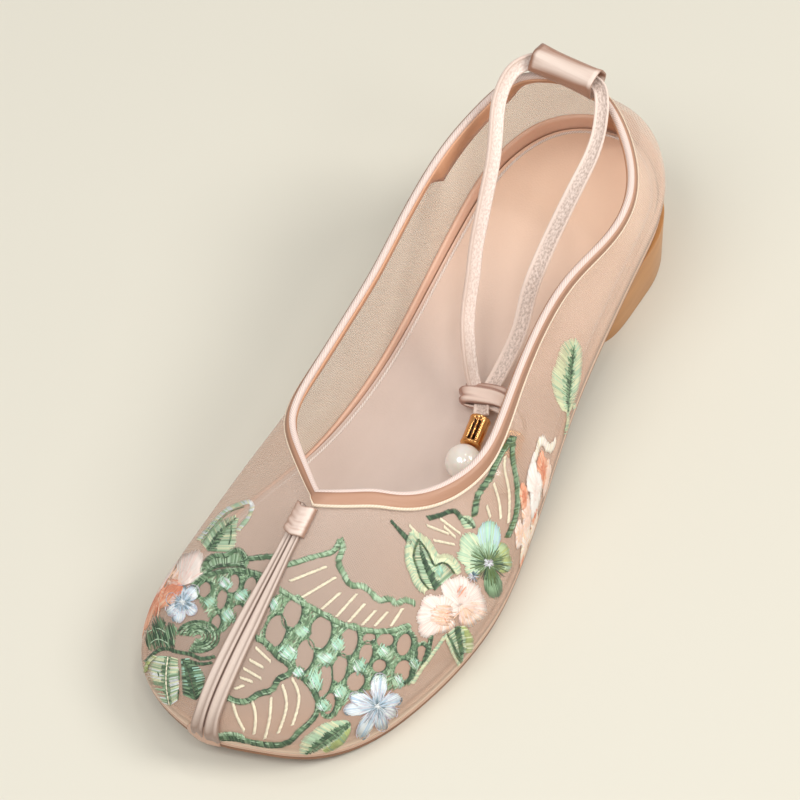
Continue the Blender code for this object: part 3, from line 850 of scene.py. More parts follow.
# Name, depth, height, radius and material
PIPES = (("piping_top", -0.75, -0.45, 1.05, PIPING), ("piping_low", 3.35, 0.75, 0.5, CREAM_PIPING))


def ringed(section, deep, lean=((0.0, 0.0),)):
    """A section of (depth, height) pairs round the topline.

    deep is (row, how far its depths stretch) and lean is (row, how far in it hangs for each millimetre down).
    """
    deep, lean = (np.interp(fine_around, *zip(*table)) for table in (deep, lean))
    rings = []
    for depth, height in section:
        if depth > 0:
            t = share_at(fine_around, depth * deep)
            off = height - lean * depth * deep
            rings.append(wall(fine_around, t) + off[:, None] * facing(fine_around, t))
        else:
            rings.append(over_wall(fine_around, depth, height))
    return np.stack(rings, 1)


binding = sweep("binding_tape", ringed(BAND, BAND_DEEP), TAPE, closed=True)
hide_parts("topline_binding")
sweep("binding_facing", ringed(FACING_SECTION, FACING, FACING_LEAN), STAY, closed=True)
for name, depth, height, radius, mat in PIPES:
    section = [(depth + a, height + b) for a, b in round_section(radius, 10)]
    sweep(name, ringed(section, BAND_DEEP), mat, closed=True)

# Two cords down the front seam, each with two piped edges, the tab at the toe and the keeper over them
CORD = (
    (0.08, 0.2), (4.6, 0.2), (4.8, 0.8), (4.4, 1.5), (3.8, 1.75), (3.2, 1.5), (2.4, 1.25), (1.6, 1.5),
    (0.9, 1.75), (0.28, 1.5), (0.08, 0.9),
)
# Where on the wall they start, up to where they lie lower, and by how much
CORD_FOOT = 0.006
CORD_LOW = 0.10
CORD_SINK = 0.45
seam_top = float(share_at(TOE_ROW, CORD_FROM)[0])


def cord_rings(side):
    rings = []
    for t in np.linspace(CORD_FOOT, seam_top, 80):
        share = np.interp(t / seam_top, *zip(*CORD_SHARES))
        sink = CORD_SINK * smooth((CORD_LOW - t) / CORD_LOW)
        ring = []
        for away, height in CORD:
            away = CORD[0][0] + share * (away - CORD[0][0])
            ring.append(over_seam(t, side * away, height * (1 - sink)))
        rings.append(ring)
    return rings


for name, side in (("vamp_cord_inner", -1), ("vamp_cord_outer", 1)):
    cord = sweep(name + "_satin", cord_rings(side), CORD_SATIN)
    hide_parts(name)

# The tab: how far it reaches to each side of the seam, from its upper edge to under the sole's edge
TAB = ((0.11, -3.6, 3.4), (0.075, -4.6, 3.7), (0.04, -5.6, 3.9), (0.0, -6.4, 4.0))
TAB_DOWN = (0.5, 1.4, 2.2, 2.7)
TAB_BACK = 0.12
# Heights off the wall: its underside, its edges, and how much more it has in the middle
TAB_UNDER = 0.1
TAB_EDGE = 0.45
TAB_SWELL = 0.5


def tab_rings():
    rings = []
    places = np.linspace(0.0, 1.0, 13)
    for t, left, right in through(TAB, 12):
        away = left + (right - left) * places
        height = TAB_EDGE + TAB_SWELL * np.sin(np.pi * places)
        over = [over_seam(max(t, 0.0), a, h) for a, h in zip(away, height)]
        under = [over_seam(max(t, 0.0), a, TAB_UNDER) for a in away[::-1]]
        rings.append(over + under)
    foot = np.array(rings[-1])
    for down in TAB_DOWN:
        rings.append(foot - down * UP - np.array([0, -TAB_BACK * down, 0]))
    return rings


sweep("toe_tab", tab_rings(), PEACH_SATIN)

# The keeper: its arch over the seam as (how far aside, height), its inner face and its ridges
KEEPER = (
    (-3.3, 0.3), (-3.3, 1.6), (-2.7, 2.7), (-1.4, 3.0), (0.0, 3.0), (1.4, 3.0), (2.7, 2.7),
    (3.3, 1.6), (3.3, 0.3),
)
KEEPER_UNDER = 0.8
KEEPER_THICK = 0.9
KEEPER_LOW = 0.3
KEEPER_RIDGES = 4
KEEPER_RIDGE = 0.5
KEEPER_BULGE = 0.06


def keeper_share(f):
    """How far up the wall the keeper is at f of its length."""
    return float(share_at(TOE_ROW, KEEPER_FROM + f * (KEEPER_TO - KEEPER_FROM))[0])


def keeper_rings():
    """Rings along the arch. Each is the keeper's profile along the seam, with a ridge for each turn."""
    rings = []
    arch = through(KEEPER, 33)
    inside = through([(a * KEEPER_UNDER, max(h - KEEPER_THICK, KEEPER_LOW)) for a, h in KEEPER], 33)
    places = np.linspace(0.0, 1.0, 6 * KEEPER_RIDGES + 1)
    for (a, h), (ai, hi) in zip(arch, inside):
        ring = []
        for f in places:
            ridge = KEEPER_RIDGE * f * (abs(math.sin(math.pi * f * KEEPER_RIDGES)) - 0.5)
            ring.append(over_seam(keeper_share(f), a * (1 + KEEPER_BULGE * ridge), h + ridge))
        for f in (1.0, 0.0):
            ring.append(over_seam(keeper_share(f), ai, hi))
        rings.append(ring)
    return rings


keeper = sweep("keeper_wrap", keeper_rings(), SATIN)
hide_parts("throat_keeper")

# Stay up the inside of the back: the row of one edge, the row of the other at its foot, middle and top,
# where its middle is, how far over the footbed and below the topline it ends, and its thickness
STAY_HALF = 0.62
STAY_EDGE = (0.6, 0.1, -0.4)
STAY_MIDDLE = 0.6
STAY_OVER = 0.9
STAY_BELOW = 3.6
STAY_THICK = 0.9


def stay_rings():
    """Rings up the back, on the inside of the wall."""
    steps = np.linspace(0.0, 0.5, 101)
    back = wall(np.zeros_like(steps), steps)
    low = steps[back[:, 2] < insole_top(back[:, 1]) + STAY_OVER].max()
    rings = []
    for t in np.linspace(low, float(share_at(0.0, STAY_BELOW)[0]), 25):
        us = np.linspace(-STAY_HALF, np.interp(t, (low, STAY_MIDDLE, 1.0), STAY_EDGE), 13)
        face, n = wall(us, np.full_like(us, t)), facing(us, np.full_like(us, t))
        near, far = face - (WALL + GAP) * n, face - (WALL + GAP + STAY_THICK) * n
        rings.append(np.concatenate([near, far[::-1]]))
    return rings


stay = sweep("heel_stay_tape", stay_rings(), STAY)
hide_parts("heel_stay")

# Tunnel across the back: its length, half sizes and wall, how deep its puckers are, how many there are,
# how far they slant, and how much it draws in at the middle
TUNNEL_LONG = 21.0
TUNNEL_HALF = (4.7, 4.5)
TUNNEL_WALL = 0.6
TUNNEL_PUCKER = 0.25
TUNNEL_FOLDS = 5
TUNNEL_SLANT = 2
TUNNEL_WAIST = 0.3
ROUND = 2 * np.pi * np.arange(48) / 48
axis = np.array(TUNNEL_AXIS) / np.linalg.norm(TUNNEL_AXIS)
fore = np.cross(UP, axis)


def tunnel_rings():
    """Rings along the tube, outer face out and inner face back, with soft puckers towards its ends."""
    rings = []
    for turn in ROUND:
        ring = []
        for shrink, way in ((0.0, 1), (TUNNEL_WALL, -1)):
            for f in np.linspace(-1, 1, 15)[::way]:
                pucker = TUNNEL_PUCKER * f**2 * math.sin(TUNNEL_FOLDS * turn + TUNNEL_SLANT * f)
                pucker -= TUNNEL_WAIST * (1 - f**2)
                half = [h - shrink + pucker for h in TUNNEL_HALF]
                across = fore * half[0] * math.cos(turn) + UP * half[1] * math.sin(turn)
                ring.append(np.array(TUNNEL) + axis * f * TUNNEL_LONG / 2 + across)
        rings.append(ring)
    return rings


tunnel = sweep("tunnel_satin", tunnel_rings(), TUNNEL_SATIN, closed=True, lengthwise=False)
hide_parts("heel_tunnel")

# The tie: a flat ribbon with a bead along each edge. A quarter of it, as (how far in, height), and the rest
QUARTER = ((0.0, 0.0), (0.15, 0.5), (0.6, 0.8), (1.1, 0.55), (1.45, 0.4), (TIE_WIDE / 2, 0.5))
RIBBON = [(TIE_WIDE / 2 - off, high) for off, high in QUARTER]
RIBBON = RIBBON + [(-a, b) for a, b in RIBBON[-2::-1]]
RIBBON = RIBBON + [(a, -b) for a, b in RIBBON[-2:0:-1]]
# Where the inner half runs through the knot, and how wide both are: (place along, share)
IN_KNOT = ((7.0, 14.9, 18.7), (10.0, 14.5, 18.2), (12.6, 14.6, 17.9))
INNER_SHARES = ((0.0, 0.8), (0.75, 0.8), (0.88, 0.72), (1.0, 0.8))
OUTER_SHARES = ((0.0, 0.72), (0.22, 0.72), (0.36, 0.82), (0.6, 0.88), (0.85, 0.84), (1.0, 0.78))
inner_line = through(TIE_INNER + IN_KNOT + TIE_END, 170)
outer_line = through(TIE_OUTER, 150)
tie_inner = along_line(
    "tie_inner_ribbon", inner_line, RIBBON, BRAID_PAINTED_LIGHT, TIE_INNER_FACES, shares=INNER_SHARES
)
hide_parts("tie_inner", "tie_end")
tie_outer = along_line("tie_outer_ribbon", outer_line, RIBBON, BRAID, TIE_FACES, shares=OUTER_SHARES)
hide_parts("tie_outer")


# Grooves in a cap: their depth, their angles and width in radians, from and to which shares of its length
# they run, over which shares they rise and fall, and between which they carry a painted dark reflection
GROOVE = 0.9
GROOVES = (4.45, 4.95)
GROOVE_WIDE = 0.14
GROOVE_SPAN = (0.08, 0.93)
GROOVE_EASE = (0.08, 0.05)
GROOVE_PAINTED_REFLECTION = (0.1, 0.91)


def turned(name, ends, profile, mat, sides=32, grooves=()):
    """A turned piece between two points: profile is (share along, radius), grooves are angles."""
    a, b = np.array(ends[0]), np.array(ends[1])
    ahead = (b - a) / np.linalg.norm(b - a)
    one = np.cross(ahead, UP)
    one /= np.linalg.norm(one)
    two = np.cross(ahead, one)
    rings = []
    for share, radius in profile:
        ring = []
        for x in 2 * np.pi * np.arange(sides) / sides:
            cut = sum(GROOVE * math.exp(-(((x - g) / GROOVE_WIDE) ** 2)) for g in grooves)
            ease = smooth((share - GROOVE_SPAN[0]) / GROOVE_EASE[0])
            ease *= smooth((GROOVE_SPAN[1] - share) / GROOVE_EASE[1])
            cut *= ease
            ring.append(a + share * (b - a) + (radius - cut) * (math.cos(x) * one + math.sin(x) * two))
        rings.append(ring)
    made = sweep(name, rings, mat)
    # The grooves' faces take the near-black gold: a painted dark reflection
    if grooves:
        made.data.materials.append(SLOT_PAINTED_REFLECTION)
        count = len(made.data.polygons) - 2
        for number in range(count):
            row, x = number // sides, 2 * np.pi * (number % sides + 0.5) / sides
            deep = GROOVE_PAINTED_REFLECTION[0] < profile[row][0] and profile[row + 1][0] < GROOVE_PAINTED_REFLECTION[1]
            if deep and min(abs(x - g) for g in grooves) < GROOVE_WIDE:
                made.data.polygons[number].material_index = 1
    return made


POLE = 0.03


def pearl_profile():
    """A ball from pole to pole, with a small flat at each."""
    turns = np.linspace(POLE, math.pi - POLE, 25)
    return [((1 - math.cos(x)) / 2, PEARL_R * math.sin(x)) for x in turns]


# A cap: a straight tube with a rim at each end and two lengthwise grooves on its upper side, as
# (share of its length, radius)
FERRULE = (
    (0.0, 2.3), (0.0, 3.0), (0.03, 3.2), (0.08, 3.2), (0.1, 3.1), (0.16, 3.1), (0.3, 3.1), (0.5, 3.1),
    (0.7, 3.1), (0.86, 3.1), (0.9, 3.1), (0.92, 3.2), (0.97, 3.2), (1.0, 3.0), (1.0, 1.2),
)
for number, ends in (("1", FERRULE_1), ("2", FERRULE_2)):
    cap = turned("ferrule_gold_" + number, ends, FERRULE, GOLD, 96, GROOVES)
    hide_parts("ferrule_" + number)
    a, b = np.array(ends[0]), np.array(ends[1])
    ahead = (b - a) / np.linalg.norm(b - a)
    ball_ends = (b + GAP * ahead, b + (GAP + 2 * PEARL_R) * ahead)
    ball = turned("pearl_drop_" + number, ball_ends, pearl_profile(), PEARL)
    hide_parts("pearl_" + number)

# The wrap that holds both halves of the tie together: from where to where it reaches, its half sizes, how
# far they close towards its ends, its wall, how square it is, and its folds
WRAP_FROM = -2.7
WRAP_TO = 4.4
WRAP_HALF = (7.4, 3.5)
WRAP_CLOSE = (0.16, 0.5)
WRAP_WALL = 1.2
WRAP_SQUARE = 0.75
WRAP_FOLD = 0.5
WRAP_SLANT = 0.25
WRAP_SINK = 0.2
WRAP_ACROSS = np.array([0.944, 0.33, 0.0])
WRAP_AHEAD = np.array([-0.33, 0.944, 0.0])


def knot_rings():
    rings = []
    for turn in ROUND:
        c, s = math.cos(turn), math.sin(turn)
        soft = [math.copysign(abs(v) ** WRAP_SQUARE, v) for v in (c, s)]
        ring = []
        for shrink, way in ((0.0, 1), (WRAP_WALL, -1)):
            for f in np.linspace(-1, 1, 13)[::way]:
                fold = 0.0 if shrink else WRAP_FOLD * math.cos(2 * math.pi * (f + WRAP_SLANT * c)) - WRAP_SINK
                sizes = zip(WRAP_HALF, WRAP_CLOSE)
                wide, tall = ((half + fold) * (1 - close * f**2) - shrink for half, close in sizes)
                along = WRAP_FROM + (WRAP_TO - WRAP_FROM) * (f + 1) / 2
                off = wide * soft[0] * WRAP_ACROSS + along * WRAP_AHEAD + tall * soft[1] * UP
                ring.append(np.array(KNOT) + off)
        rings.append(ring)
    return rings


knot = sweep("knot_wrap", knot_rings(), KNOT_SATIN, closed=True)
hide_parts("tie_knot")


# Embroidery: stitches drawn in pixels of the photographed view, 800 across, or on the wall, laid on the mesh


def srgb(*values):
    """A linear colour from values of 11 to 255."""
    return tuple(((c / 255 + 0.055) / 1.055) ** 2.4 for c in values)


THREADS = {
    "forest": srgb(70, 98, 74),
    "green": srgb(108, 140, 106),
    "leaf": srgb(150, 180, 144),
    "mint": srgb(190, 216, 186),
    "pale": srgb(226, 230, 196),
    "cream": srgb(240, 231, 206),
    "aqua": srgb(182, 226, 206),
    "olive": srgb(106, 128, 80),
    "lime": srgb(186, 198, 132),
    "blush": srgb(246, 234, 226),
    "pink": srgb(242, 216, 206),
    "peach": srgb(244, 206, 178),
    "coral": srgb(236, 166, 134),
    "red": srgb(218, 128, 98),
    "snow": srgb(232, 238, 240),
    "sky": srgb(190, 212, 230),
    "slate": srgb(112, 138, 150),
    "lilac": srgb(206, 200, 212),
    "white": srgb(252, 246, 240),
}
# A stitch: its width and thickness in mm, both as shares at its four points, how far its edges lie under
# the face it is laid on, and how far each layer lies over the one below
THREAD_WIDE = 0.44
THREAD_THICK = 0.17
THREAD_WIDTHS = np.array([0.6, 1, 1, 0.6])[None, :, None]
THREAD_CRESTS = np.array([0.35, 1, 1, 0.35])[None, :, None]
THREAD_SINK = 0.05
LAYER = 0.07
# Stitches by drawing and colour: "seen" is drawn in pixels, the others on the wall in half millimetres
STITCHES = {drawing: {colour: [] for colour in THREADS} for drawing in ("seen", "inner", "outer")}
COUNT = itertools.count()
# The numbers behind chance, how uneven stitches end, angles round a petal's edge and of a blossom's petals
CHANCE = (12.9898, 4.1, 43758.5453)
RAGGED = 0.2
FULL_TURN = 6.283
PETAL_TURNS = np.linspace(-1.35, 1.35, 9)
BLOSSOM_TURNS = 0.3 + 2 * np.pi * np.arange(5) / 5

# Threads that are worked together: one is taken by chance for each stitch
ROPE = ("green", "green", "leaf", "forest")
LIGHT_ROPE = ("leaf", "mint", "leaf", "mint", "green")
DARK_ROPE = ("forest", "forest", "green")
RIM = ("forest", "forest", "green", "green", "leaf")
PATCH = ("aqua", "aqua", "mint", "snow")
BORDER = ("pale", "pale", "mint")
LEAFY = ("mint", "mint", "leaf", "pale")
DEEP_LEAF = ("green", "leaf", "forest", "aqua")


def chance(i):
    """A fixed value from 0 to 1 that looks random from one i to the next."""
    step, start, spread = CHANCE
    return (math.sin(step * i + start) * spread) % 1.0


def spaced(points, gap):
    """Points every gap along a smooth line, and the way along it at each."""
    line = through(points, 24 * len(points))
    run = runs(line)
    at = np.linspace(0, run[-1], max(3, round(run[-1] / gap) + 1))
    line = np.stack([np.interp(at, run, line[:, i]) for i in range(2)], -1)
    ahead = np.gradient(line, axis=0)
    return line, ahead / np.linalg.norm(ahead, axis=1, keepdims=True)


def lay_thread(threads, line, layer, wide, drawing="seen"):
    """One stitch along four points, in one of the threads, a little uneven in height, width and shade."""
    i = next(COUNT)
    colour = threads if isinstance(threads, str) else threads[int(chance(i) * len(threads))]
    lift = (layer + 0.6 * chance(i + 0.31)) * LAYER
    STITCHES[drawing][colour].append((line, lift, wide * (0.85 + 0.3 * chance(i + 0.57)), chance(i + 0.83)))


def stitch(threads, a, b, layer=0.0, wide=THREAD_WIDE, drawing="seen"):
    lay_thread(threads, np.linspace(a, b, 4), layer, wide, drawing)


def column(threads, points, wide, layer=1.0, lean=0.5, gap=1.05, taper=0.0, drawing="seen"):
    """A corded line: short slanting stitches side by side along it. taper thins its far end."""
    line, ahead = spaced(points, gap)
    for i, (p, along) in enumerate(zip(line, ahead)):
        half = wide / 2 * (1 - taper * i / len(line)) * (0.8 + 0.35 * chance(i + wide))
        reach = half * (np.array([-along[1], along[0]]) + lean * along)
        stitch(threads, p - reach, p + reach, layer, drawing=drawing)


def strand(threads, points, layer=2.0, wide=0.4, kept=1.0):
    """One thread laid along a line, in short runs, of which a share is kept."""
    line, _ = spaced(points, 1.2)
    for i in range(0, len(line) - 3, 3):
        if chance(i + line[0][0]) < kept:
            lay_thread(threads, line[i : i + 4], layer, wide)


def rope(points, wide, threads=ROPE, layer=1.0):
    """A corded line with a broken dark thread along one side and a broken light one along the other."""
    line, ahead = spaced(points, 2.0)
    side = np.stack([-ahead[:, 1], ahead[:, 0]], -1) * wide * 0.4
    column(threads, points, wide, layer)
    strand("green" if threads is LIGHT_ROPE else "forest", line + side, layer + 1, 0.36, 0.6)
    strand("mint", line - side * 0.5, layer + 1, 0.34, 0.5)


def between(threads, rail_a, rail_b, span=(0.0, 1.0), layer=0.0, gap=1.0, drawing="seen"):
    """Side-by-side stitches from one line to another, over a share of the way."""
    count = max(4, round(max(runs(through(r, 40))[-1] for r in (rail_a, rail_b)) / gap))
    for i, (a, b) in enumerate(zip(through(rail_a, count), through(rail_b, count))):
        start = max(0.0, span[0] - RAGGED * chance(i + a[0]))
        end = span[1] - RAGGED * chance(i + b[1]) * (0.4 if span[1] == 1 else 1.0)
        stitch(threads, a + (b - a) * start, a + (b - a) * end, layer, drawing=drawing)


def petal(base, tip, half, layers, rim=None, drawing="seen", layer=1):
    """A fan of stitches from base to a round edge. layers are (threads, from share, to share)."""
    base, tip = np.array(base, float), np.array(tip, float)
    axis = tip - base
    side = np.array([-axis[1], axis[0]]) / np.linalg.norm(axis)
    edge = [base + axis * (0.35 + 0.65 * math.cos(a) ** 0.6) + side * half * math.sin(a) for a in PETAL_TURNS]
    root = [base + side * half * 0.25 * math.sin(a) for a in PETAL_TURNS]
    for number, (threads, start, end) in enumerate(layers):
        between(threads, root, edge, (start, end), layer=layer + number, gap=0.65, drawing=drawing)
    if rim:
        strand(rim, edge, len(layers) + 2, 0.34, 0.8)


def blossom(centre, half, layers, drawing, layer):
    """Five petals round a centre, which reach as far as half to each side and up and down."""
    for turn in BLOSSOM_TURNS:
        tip = np.array(centre) + np.array(half) * (math.cos(turn), math.sin(turn))
        petal(centre, tip, 0.36 * sum(half), layers, drawing=drawing, layer=layer)


def patch(threads, centre, half, way=0.9, layer=1.0):
    """An oval filled with slanting stitches, uneven at its edge."""
    for off in np.arange(-1.0, 1.0, 0.8 / half[0]):
        i = off + centre[0] + centre[1]
        turn = way + 0.5 * (chance(i) - 0.5)
        long = math.sqrt(max(0.0, 1 - off**2)) * (0.7 + 0.4 * chance(i + 0.4)) + 0.1
        along, across = np.array([math.cos(turn), math.sin(turn)]), np.array([-math.sin(way), math.cos(way)])
        middle = np.array(centre) + off * across * half
        stitch(threads, middle - long * along * half, middle + long * along * half, layer)


def burst(threads, centre, near, far, count, layer=3.0, wide=0.34):
    """Thin stitches that spread from a centre."""
    centre = np.array(centre)
    for i in range(count):
        a = FULL_TURN * (i + 0.6 * chance(i + centre[1])) / count
        way = np.array([math.cos(a), math.sin(a)])
        end = near + (far - near) * (0.45 + 0.55 * chance(i + centre[0]))
        stitch(threads, centre + near * way, centre + end * way, layer, wide)


def leaf(rib, left, right, layers):
    """Stitches from the rib out to both edges, all three from base to tip."""
    for edge in (left, right):
        for number, (threads, start, end) in enumerate(layers):
            between(threads, rib, edge, (start, end), layer=number)


# Carp: back, fins and their rays
DORSAL = ((357, 631.5), (365, 629.3), (380, 624.7), (391.5, 621.2), (396.6, 612.5))
DORSAL_DOWN = (
    (396.8, 613), (398.4, 620), (395.4, 629), (399, 638), (404.5, 646.5), (413, 647.5), (421, 654),
    (427, 658), (434, 657), (438, 661), (444, 658), (452, 660.5),
)
DORSAL_BASE = (
    (352, 650), (365, 658), (379, 665.5), (393, 673.5), (407, 678.5), (421, 681), (435, 680.5), (448, 676.5),
)
DORSAL_RAYS = (
    ((359.5, 643.5), (386, 633)), ((368.5, 655.6), (393, 641)), ((383, 664.5), (396.4, 652.5)),
    ((394, 670), (408.6, 653.5)), ((403, 674), (414.5, 661)), ((413, 676.5), (422.6, 666)),
    ((422.6, 677), (431.5, 667)), ((434.5, 677), (442.6, 664.5)),
)
SIDE_FIN = (
    (334, 686), (342, 690), (347.5, 696.5), (353, 702), (359, 706.5), (358.5, 713), (351, 717), (345.5, 725),
    (337, 727.5), (329, 732.5), (320, 733.5), (313, 730.5),
)
SIDE_FIN_RAYS = (
    ((334, 693.5), (344.5, 703.5)), ((329.5, 702.6), (339, 708)), ((325, 709), (337.5, 716.3)),
    ((322.5, 715.8), (331, 718.7)), ((318.6, 724), (324.5, 721.5)),
)
LOWER_RAYS = (
    ((316.5, 733.5), (319.5, 744), (325, 755)), ((331, 733.5), (333.5, 744), (332.5, 757.5)),
    ((345, 731), (344, 746), (340.5, 761)), ((353.5, 721.5), (356.5, 737), (350.5, 757)),
    ((360.7, 716.5), (365.8, 731), (361, 751)),
)
LOWER_EDGE = (
    (305, 760.5), (318.6, 761), (331, 763.8), (346, 766), (358, 763.8), (366, 756), (374.5, 748.5),
    (380, 738), (377, 726), (368, 715),
)
LOWER_DOUBLE = ((306, 758.5), (316, 757.5), (325, 760.5))
TOP_LINE = ((322, 627.5), (333, 626.5), (342, 625.5), (352, 625.5))
BACK_LINE = ((287.5, 647), (294, 641), (306, 637), (318.6, 635.5), (330, 637), (342, 641))
CLOUD = ((294.5, 637), (297, 629.5), (304, 624.5), (312, 624.5), (319, 620.5), (325.5, 624), (327.5, 631))
CLOUD_LOW = ((296, 639), (303, 633.5), (312, 632), (320, 631.5), (327, 632.5))
for line, wide, threads, layer in (
    (DORSAL, 4.4, LIGHT_ROPE, 1), (DORSAL_DOWN, 4.8, LIGHT_ROPE, 1), (DORSAL_BASE, 4.2, LIGHT_ROPE, 2),
    (SIDE_FIN, 4.8, ROPE, 2), (LOWER_EDGE, 4.4, ROPE, 2), (LOWER_DOUBLE, 3.2, LIGHT_ROPE, 2),
    (TOP_LINE, 4.2, ROPE, 1), (BACK_LINE, 4.6, ROPE, 2), (CLOUD, 4.0, ROPE, 2), (CLOUD_LOW, 2.8, ROPE, 2),
):
    rope(line, wide, threads, layer=layer)
between(("mint", "leaf", "mint", "green"), CLOUD, CLOUD_LOW)
RAY_WIDE = 2.1
for ray in (*DORSAL_RAYS, *SIDE_FIN_RAYS, *LOWER_RAYS):
    column("cream", ray, RAY_WIDE, 1, 0.9, 0.8)

# Scales: (centre, half width and height) of the bare mesh in each, and the pale patches between them
SCALE_HOLES = (
    (360.7, 668.2, 6.4, 10.4), (348.7, 681, 6.8, 11), (381.6, 682.4, 7.6, 11.6), (370.2, 699, 6.2, 11.2),
    (402.6, 689.4, 6.2, 10.4), (396.2, 708.8, 5.0, 10), (384.4, 718, 5.4, 11.6), (415.6, 698, 4.4, 8.6),
    (408, 718.6, 6.0, 6.6), (388.4, 735.2, 4.0, 7.4), (418, 686.4, 4.4, 3.8), (430, 688, 5.8, 4.8),
    (444, 691.2, 4.8, 7.6), (456.4, 698, 4.0, 5.6), (425.6, 707, 4.6, 4.4), (443, 711, 5.6, 7.6),
    (296.2, 650, 4.0, 5.2), (317.2, 645.8, 4.2, 6.6), (329.8, 647.4, 4.2, 6.2), (308.7, 657.2, 3.5, 6.8),
    (320.2, 666.8, 4.2, 5.0), (304.4, 674.6, 3.2, 5.6),
)
# How far they lean, how much larger they are worked, the share of each that stays bare, and the dark rim
HOLE_LEAN = 0.16
HOLE_GROWN = 1.08
HOLE_EDGE = 0.98
HOLES = tuple((x, y, HOLE_GROWN * wide, HOLE_GROWN * tall) for x, y, wide, tall in SCALE_HOLES)
HOLE_RIM = 1.06
RIM_TURNS = np.linspace(-1.4, 1.4, 12)
HOLE_MIDDLES = np.array([hole[:2] for hole in HOLES])
HOLE_HALVES = np.array([hole[2:] for hole in HOLES])
PATCHES = (
    (348, 660.5, 3.0, 5.5), (369, 681.5, 4.6, 4.4), (358.2, 697.2, 5.6, 5.2), (385.6, 701.6, 6.0, 4.8),
    (394.8, 691, 4.2, 5.4), (378, 718.2, 4.4, 8.4), (411, 707, 4.6, 5.2), (397, 726.4, 5.0, 5.4),
    (384, 736.4, 4.8, 4.8), (429, 696.4, 4.4, 4.6), (439.4, 718.4, 3.8, 5.0), (452, 705.4, 3.0, 4.4),
    (311.5, 645, 4.0, 4.6), (324.2, 654.4, 5.0, 4.6), (300.4, 659, 4.0, 4.0), (313.8, 669.6, 4.6, 5.0),
    (336, 656, 3.0, 4.6), (366, 712, 4.0, 3.6),
)


def bare(point):
    """Whether a point lies in the bare mesh of a scale."""
    away = (point - HOLE_MIDDLES) / HOLE_HALVES
    away[:, 0] += HOLE_LEAN * away[:, 1] * HOLE_HALVES[:, 1] / HOLE_HALVES[:, 0]
    return bool((np.linalg.norm(away, axis=1) < HOLE_EDGE).any())


def scale(x, y, wide, tall):
    """The stitched rim round one bare patch: heavy towards the tail, light towards the head."""
    count = round(2 * math.pi * math.sqrt((wide**2 + tall**2) / 2) / 0.8)
    for i in range(count):
        a = 2 * math.pi * i / count
        tailward = 0.5 + 0.5 * math.cos(a)
        way = np.array([math.cos(a + HOLE_LEAN + 0.5), math.sin(a + HOLE_LEAN + 0.5)])
        edge = np.array([x + wide * math.cos(a) - HOLE_LEAN * tall * math.sin(a), y + tall * math.sin(a)])
        reach = (2.8 + 2.6 * tailward) * (0.8 + 0.3 * chance(i + x))
        while reach > 1.0 and bare(edge + reach * way):
            reach *= 0.75
        stitch(RIM if tailward > 0.3 else ("green", "leaf", "forest"), edge, edge + 0.7 * reach * way, 1)
        stitch(("green", "leaf", "mint"), edge + 0.4 * reach * way, edge + reach * way, 0)


def within(point, edge):
    """Whether a point lies inside a closed outline."""
    x, y = point
    odd = False
    for (ax, ay), (bx, by) in zip(edge, edge[1:] + edge[:1]):
        if (ay > y) != (by > y) and x < ax + (y - ay) * (bx - ax) / (by - ay):
            odd = not odd
    return odd


# Ground stitches over the body, on both sides of the seam
BODY_OUTER = DORSAL_BASE + (
    (452, 690), (449, 717), (438, 724), (418, 724), (404, 730), (392, 746), (381, 740), (377, 726),
    (368, 715), (359, 706.5), (353, 702), (347.5, 696.5), (342, 690), (336, 686),
)
BODY_INNER = (
    (287.5, 647), (294, 641), (306, 637), (318.6, 635.5), (330, 637), (338, 641), (326, 660), (312, 680),
    (304, 682), (298, 668), (291, 656),
)
BODY = ("leaf", "green", "leaf", "mint", "green")
BODY_GAP = 1.6
BODY_TURN = 2.2
BODY_SPREAD = 0.9
BODY_REACH = 2.3
for edge in (BODY_OUTER, BODY_INNER):
    (left, top), (right, low) = np.min(edge, axis=0), np.max(edge, axis=0)
    for y, x in itertools.product(np.arange(top, low, BODY_GAP), np.arange(left, right, BODY_GAP)):
        i = 0.37 * x + 1.91 * y
        middle = np.array([x + chance(i) - 0.5, y + chance(i + 0.2) - 0.5])
        turn = BODY_TURN + BODY_SPREAD * (chance(i + 0.4) - 0.5)
        reach = BODY_REACH * np.array([math.cos(turn), math.sin(turn)])
        if within(middle, edge) and not any(bare(middle + share * reach) for share in (-1, 0, 1)):
            stitch(BODY, middle - reach, middle + reach, 0)
for hole in HOLES:
    scale(*hole)
    rim = [hole[:2] + HOLE_RIM * np.array([hole[2] * math.cos(a), hole[3] * math.sin(a)]) for a in RIM_TURNS]
    rim = [np.array((x - HOLE_LEAN * (y - hole[1]), y)) for x, y in rim]
    rim = [point for point in rim if not bare(point)]
    if len(rim) > 4:
        strand("forest", rim, 3, 0.4, 0.9)
for x, y, wide, tall in PATCHES:
    patch(("leaf", "mint", "green", "aqua"), (x, y), (1.25 * wide, 1.25 * tall), way=2.2, layer=1)
    patch(PATCH, (x - 0.5, y), (wide, 0.9 * tall), layer=2)

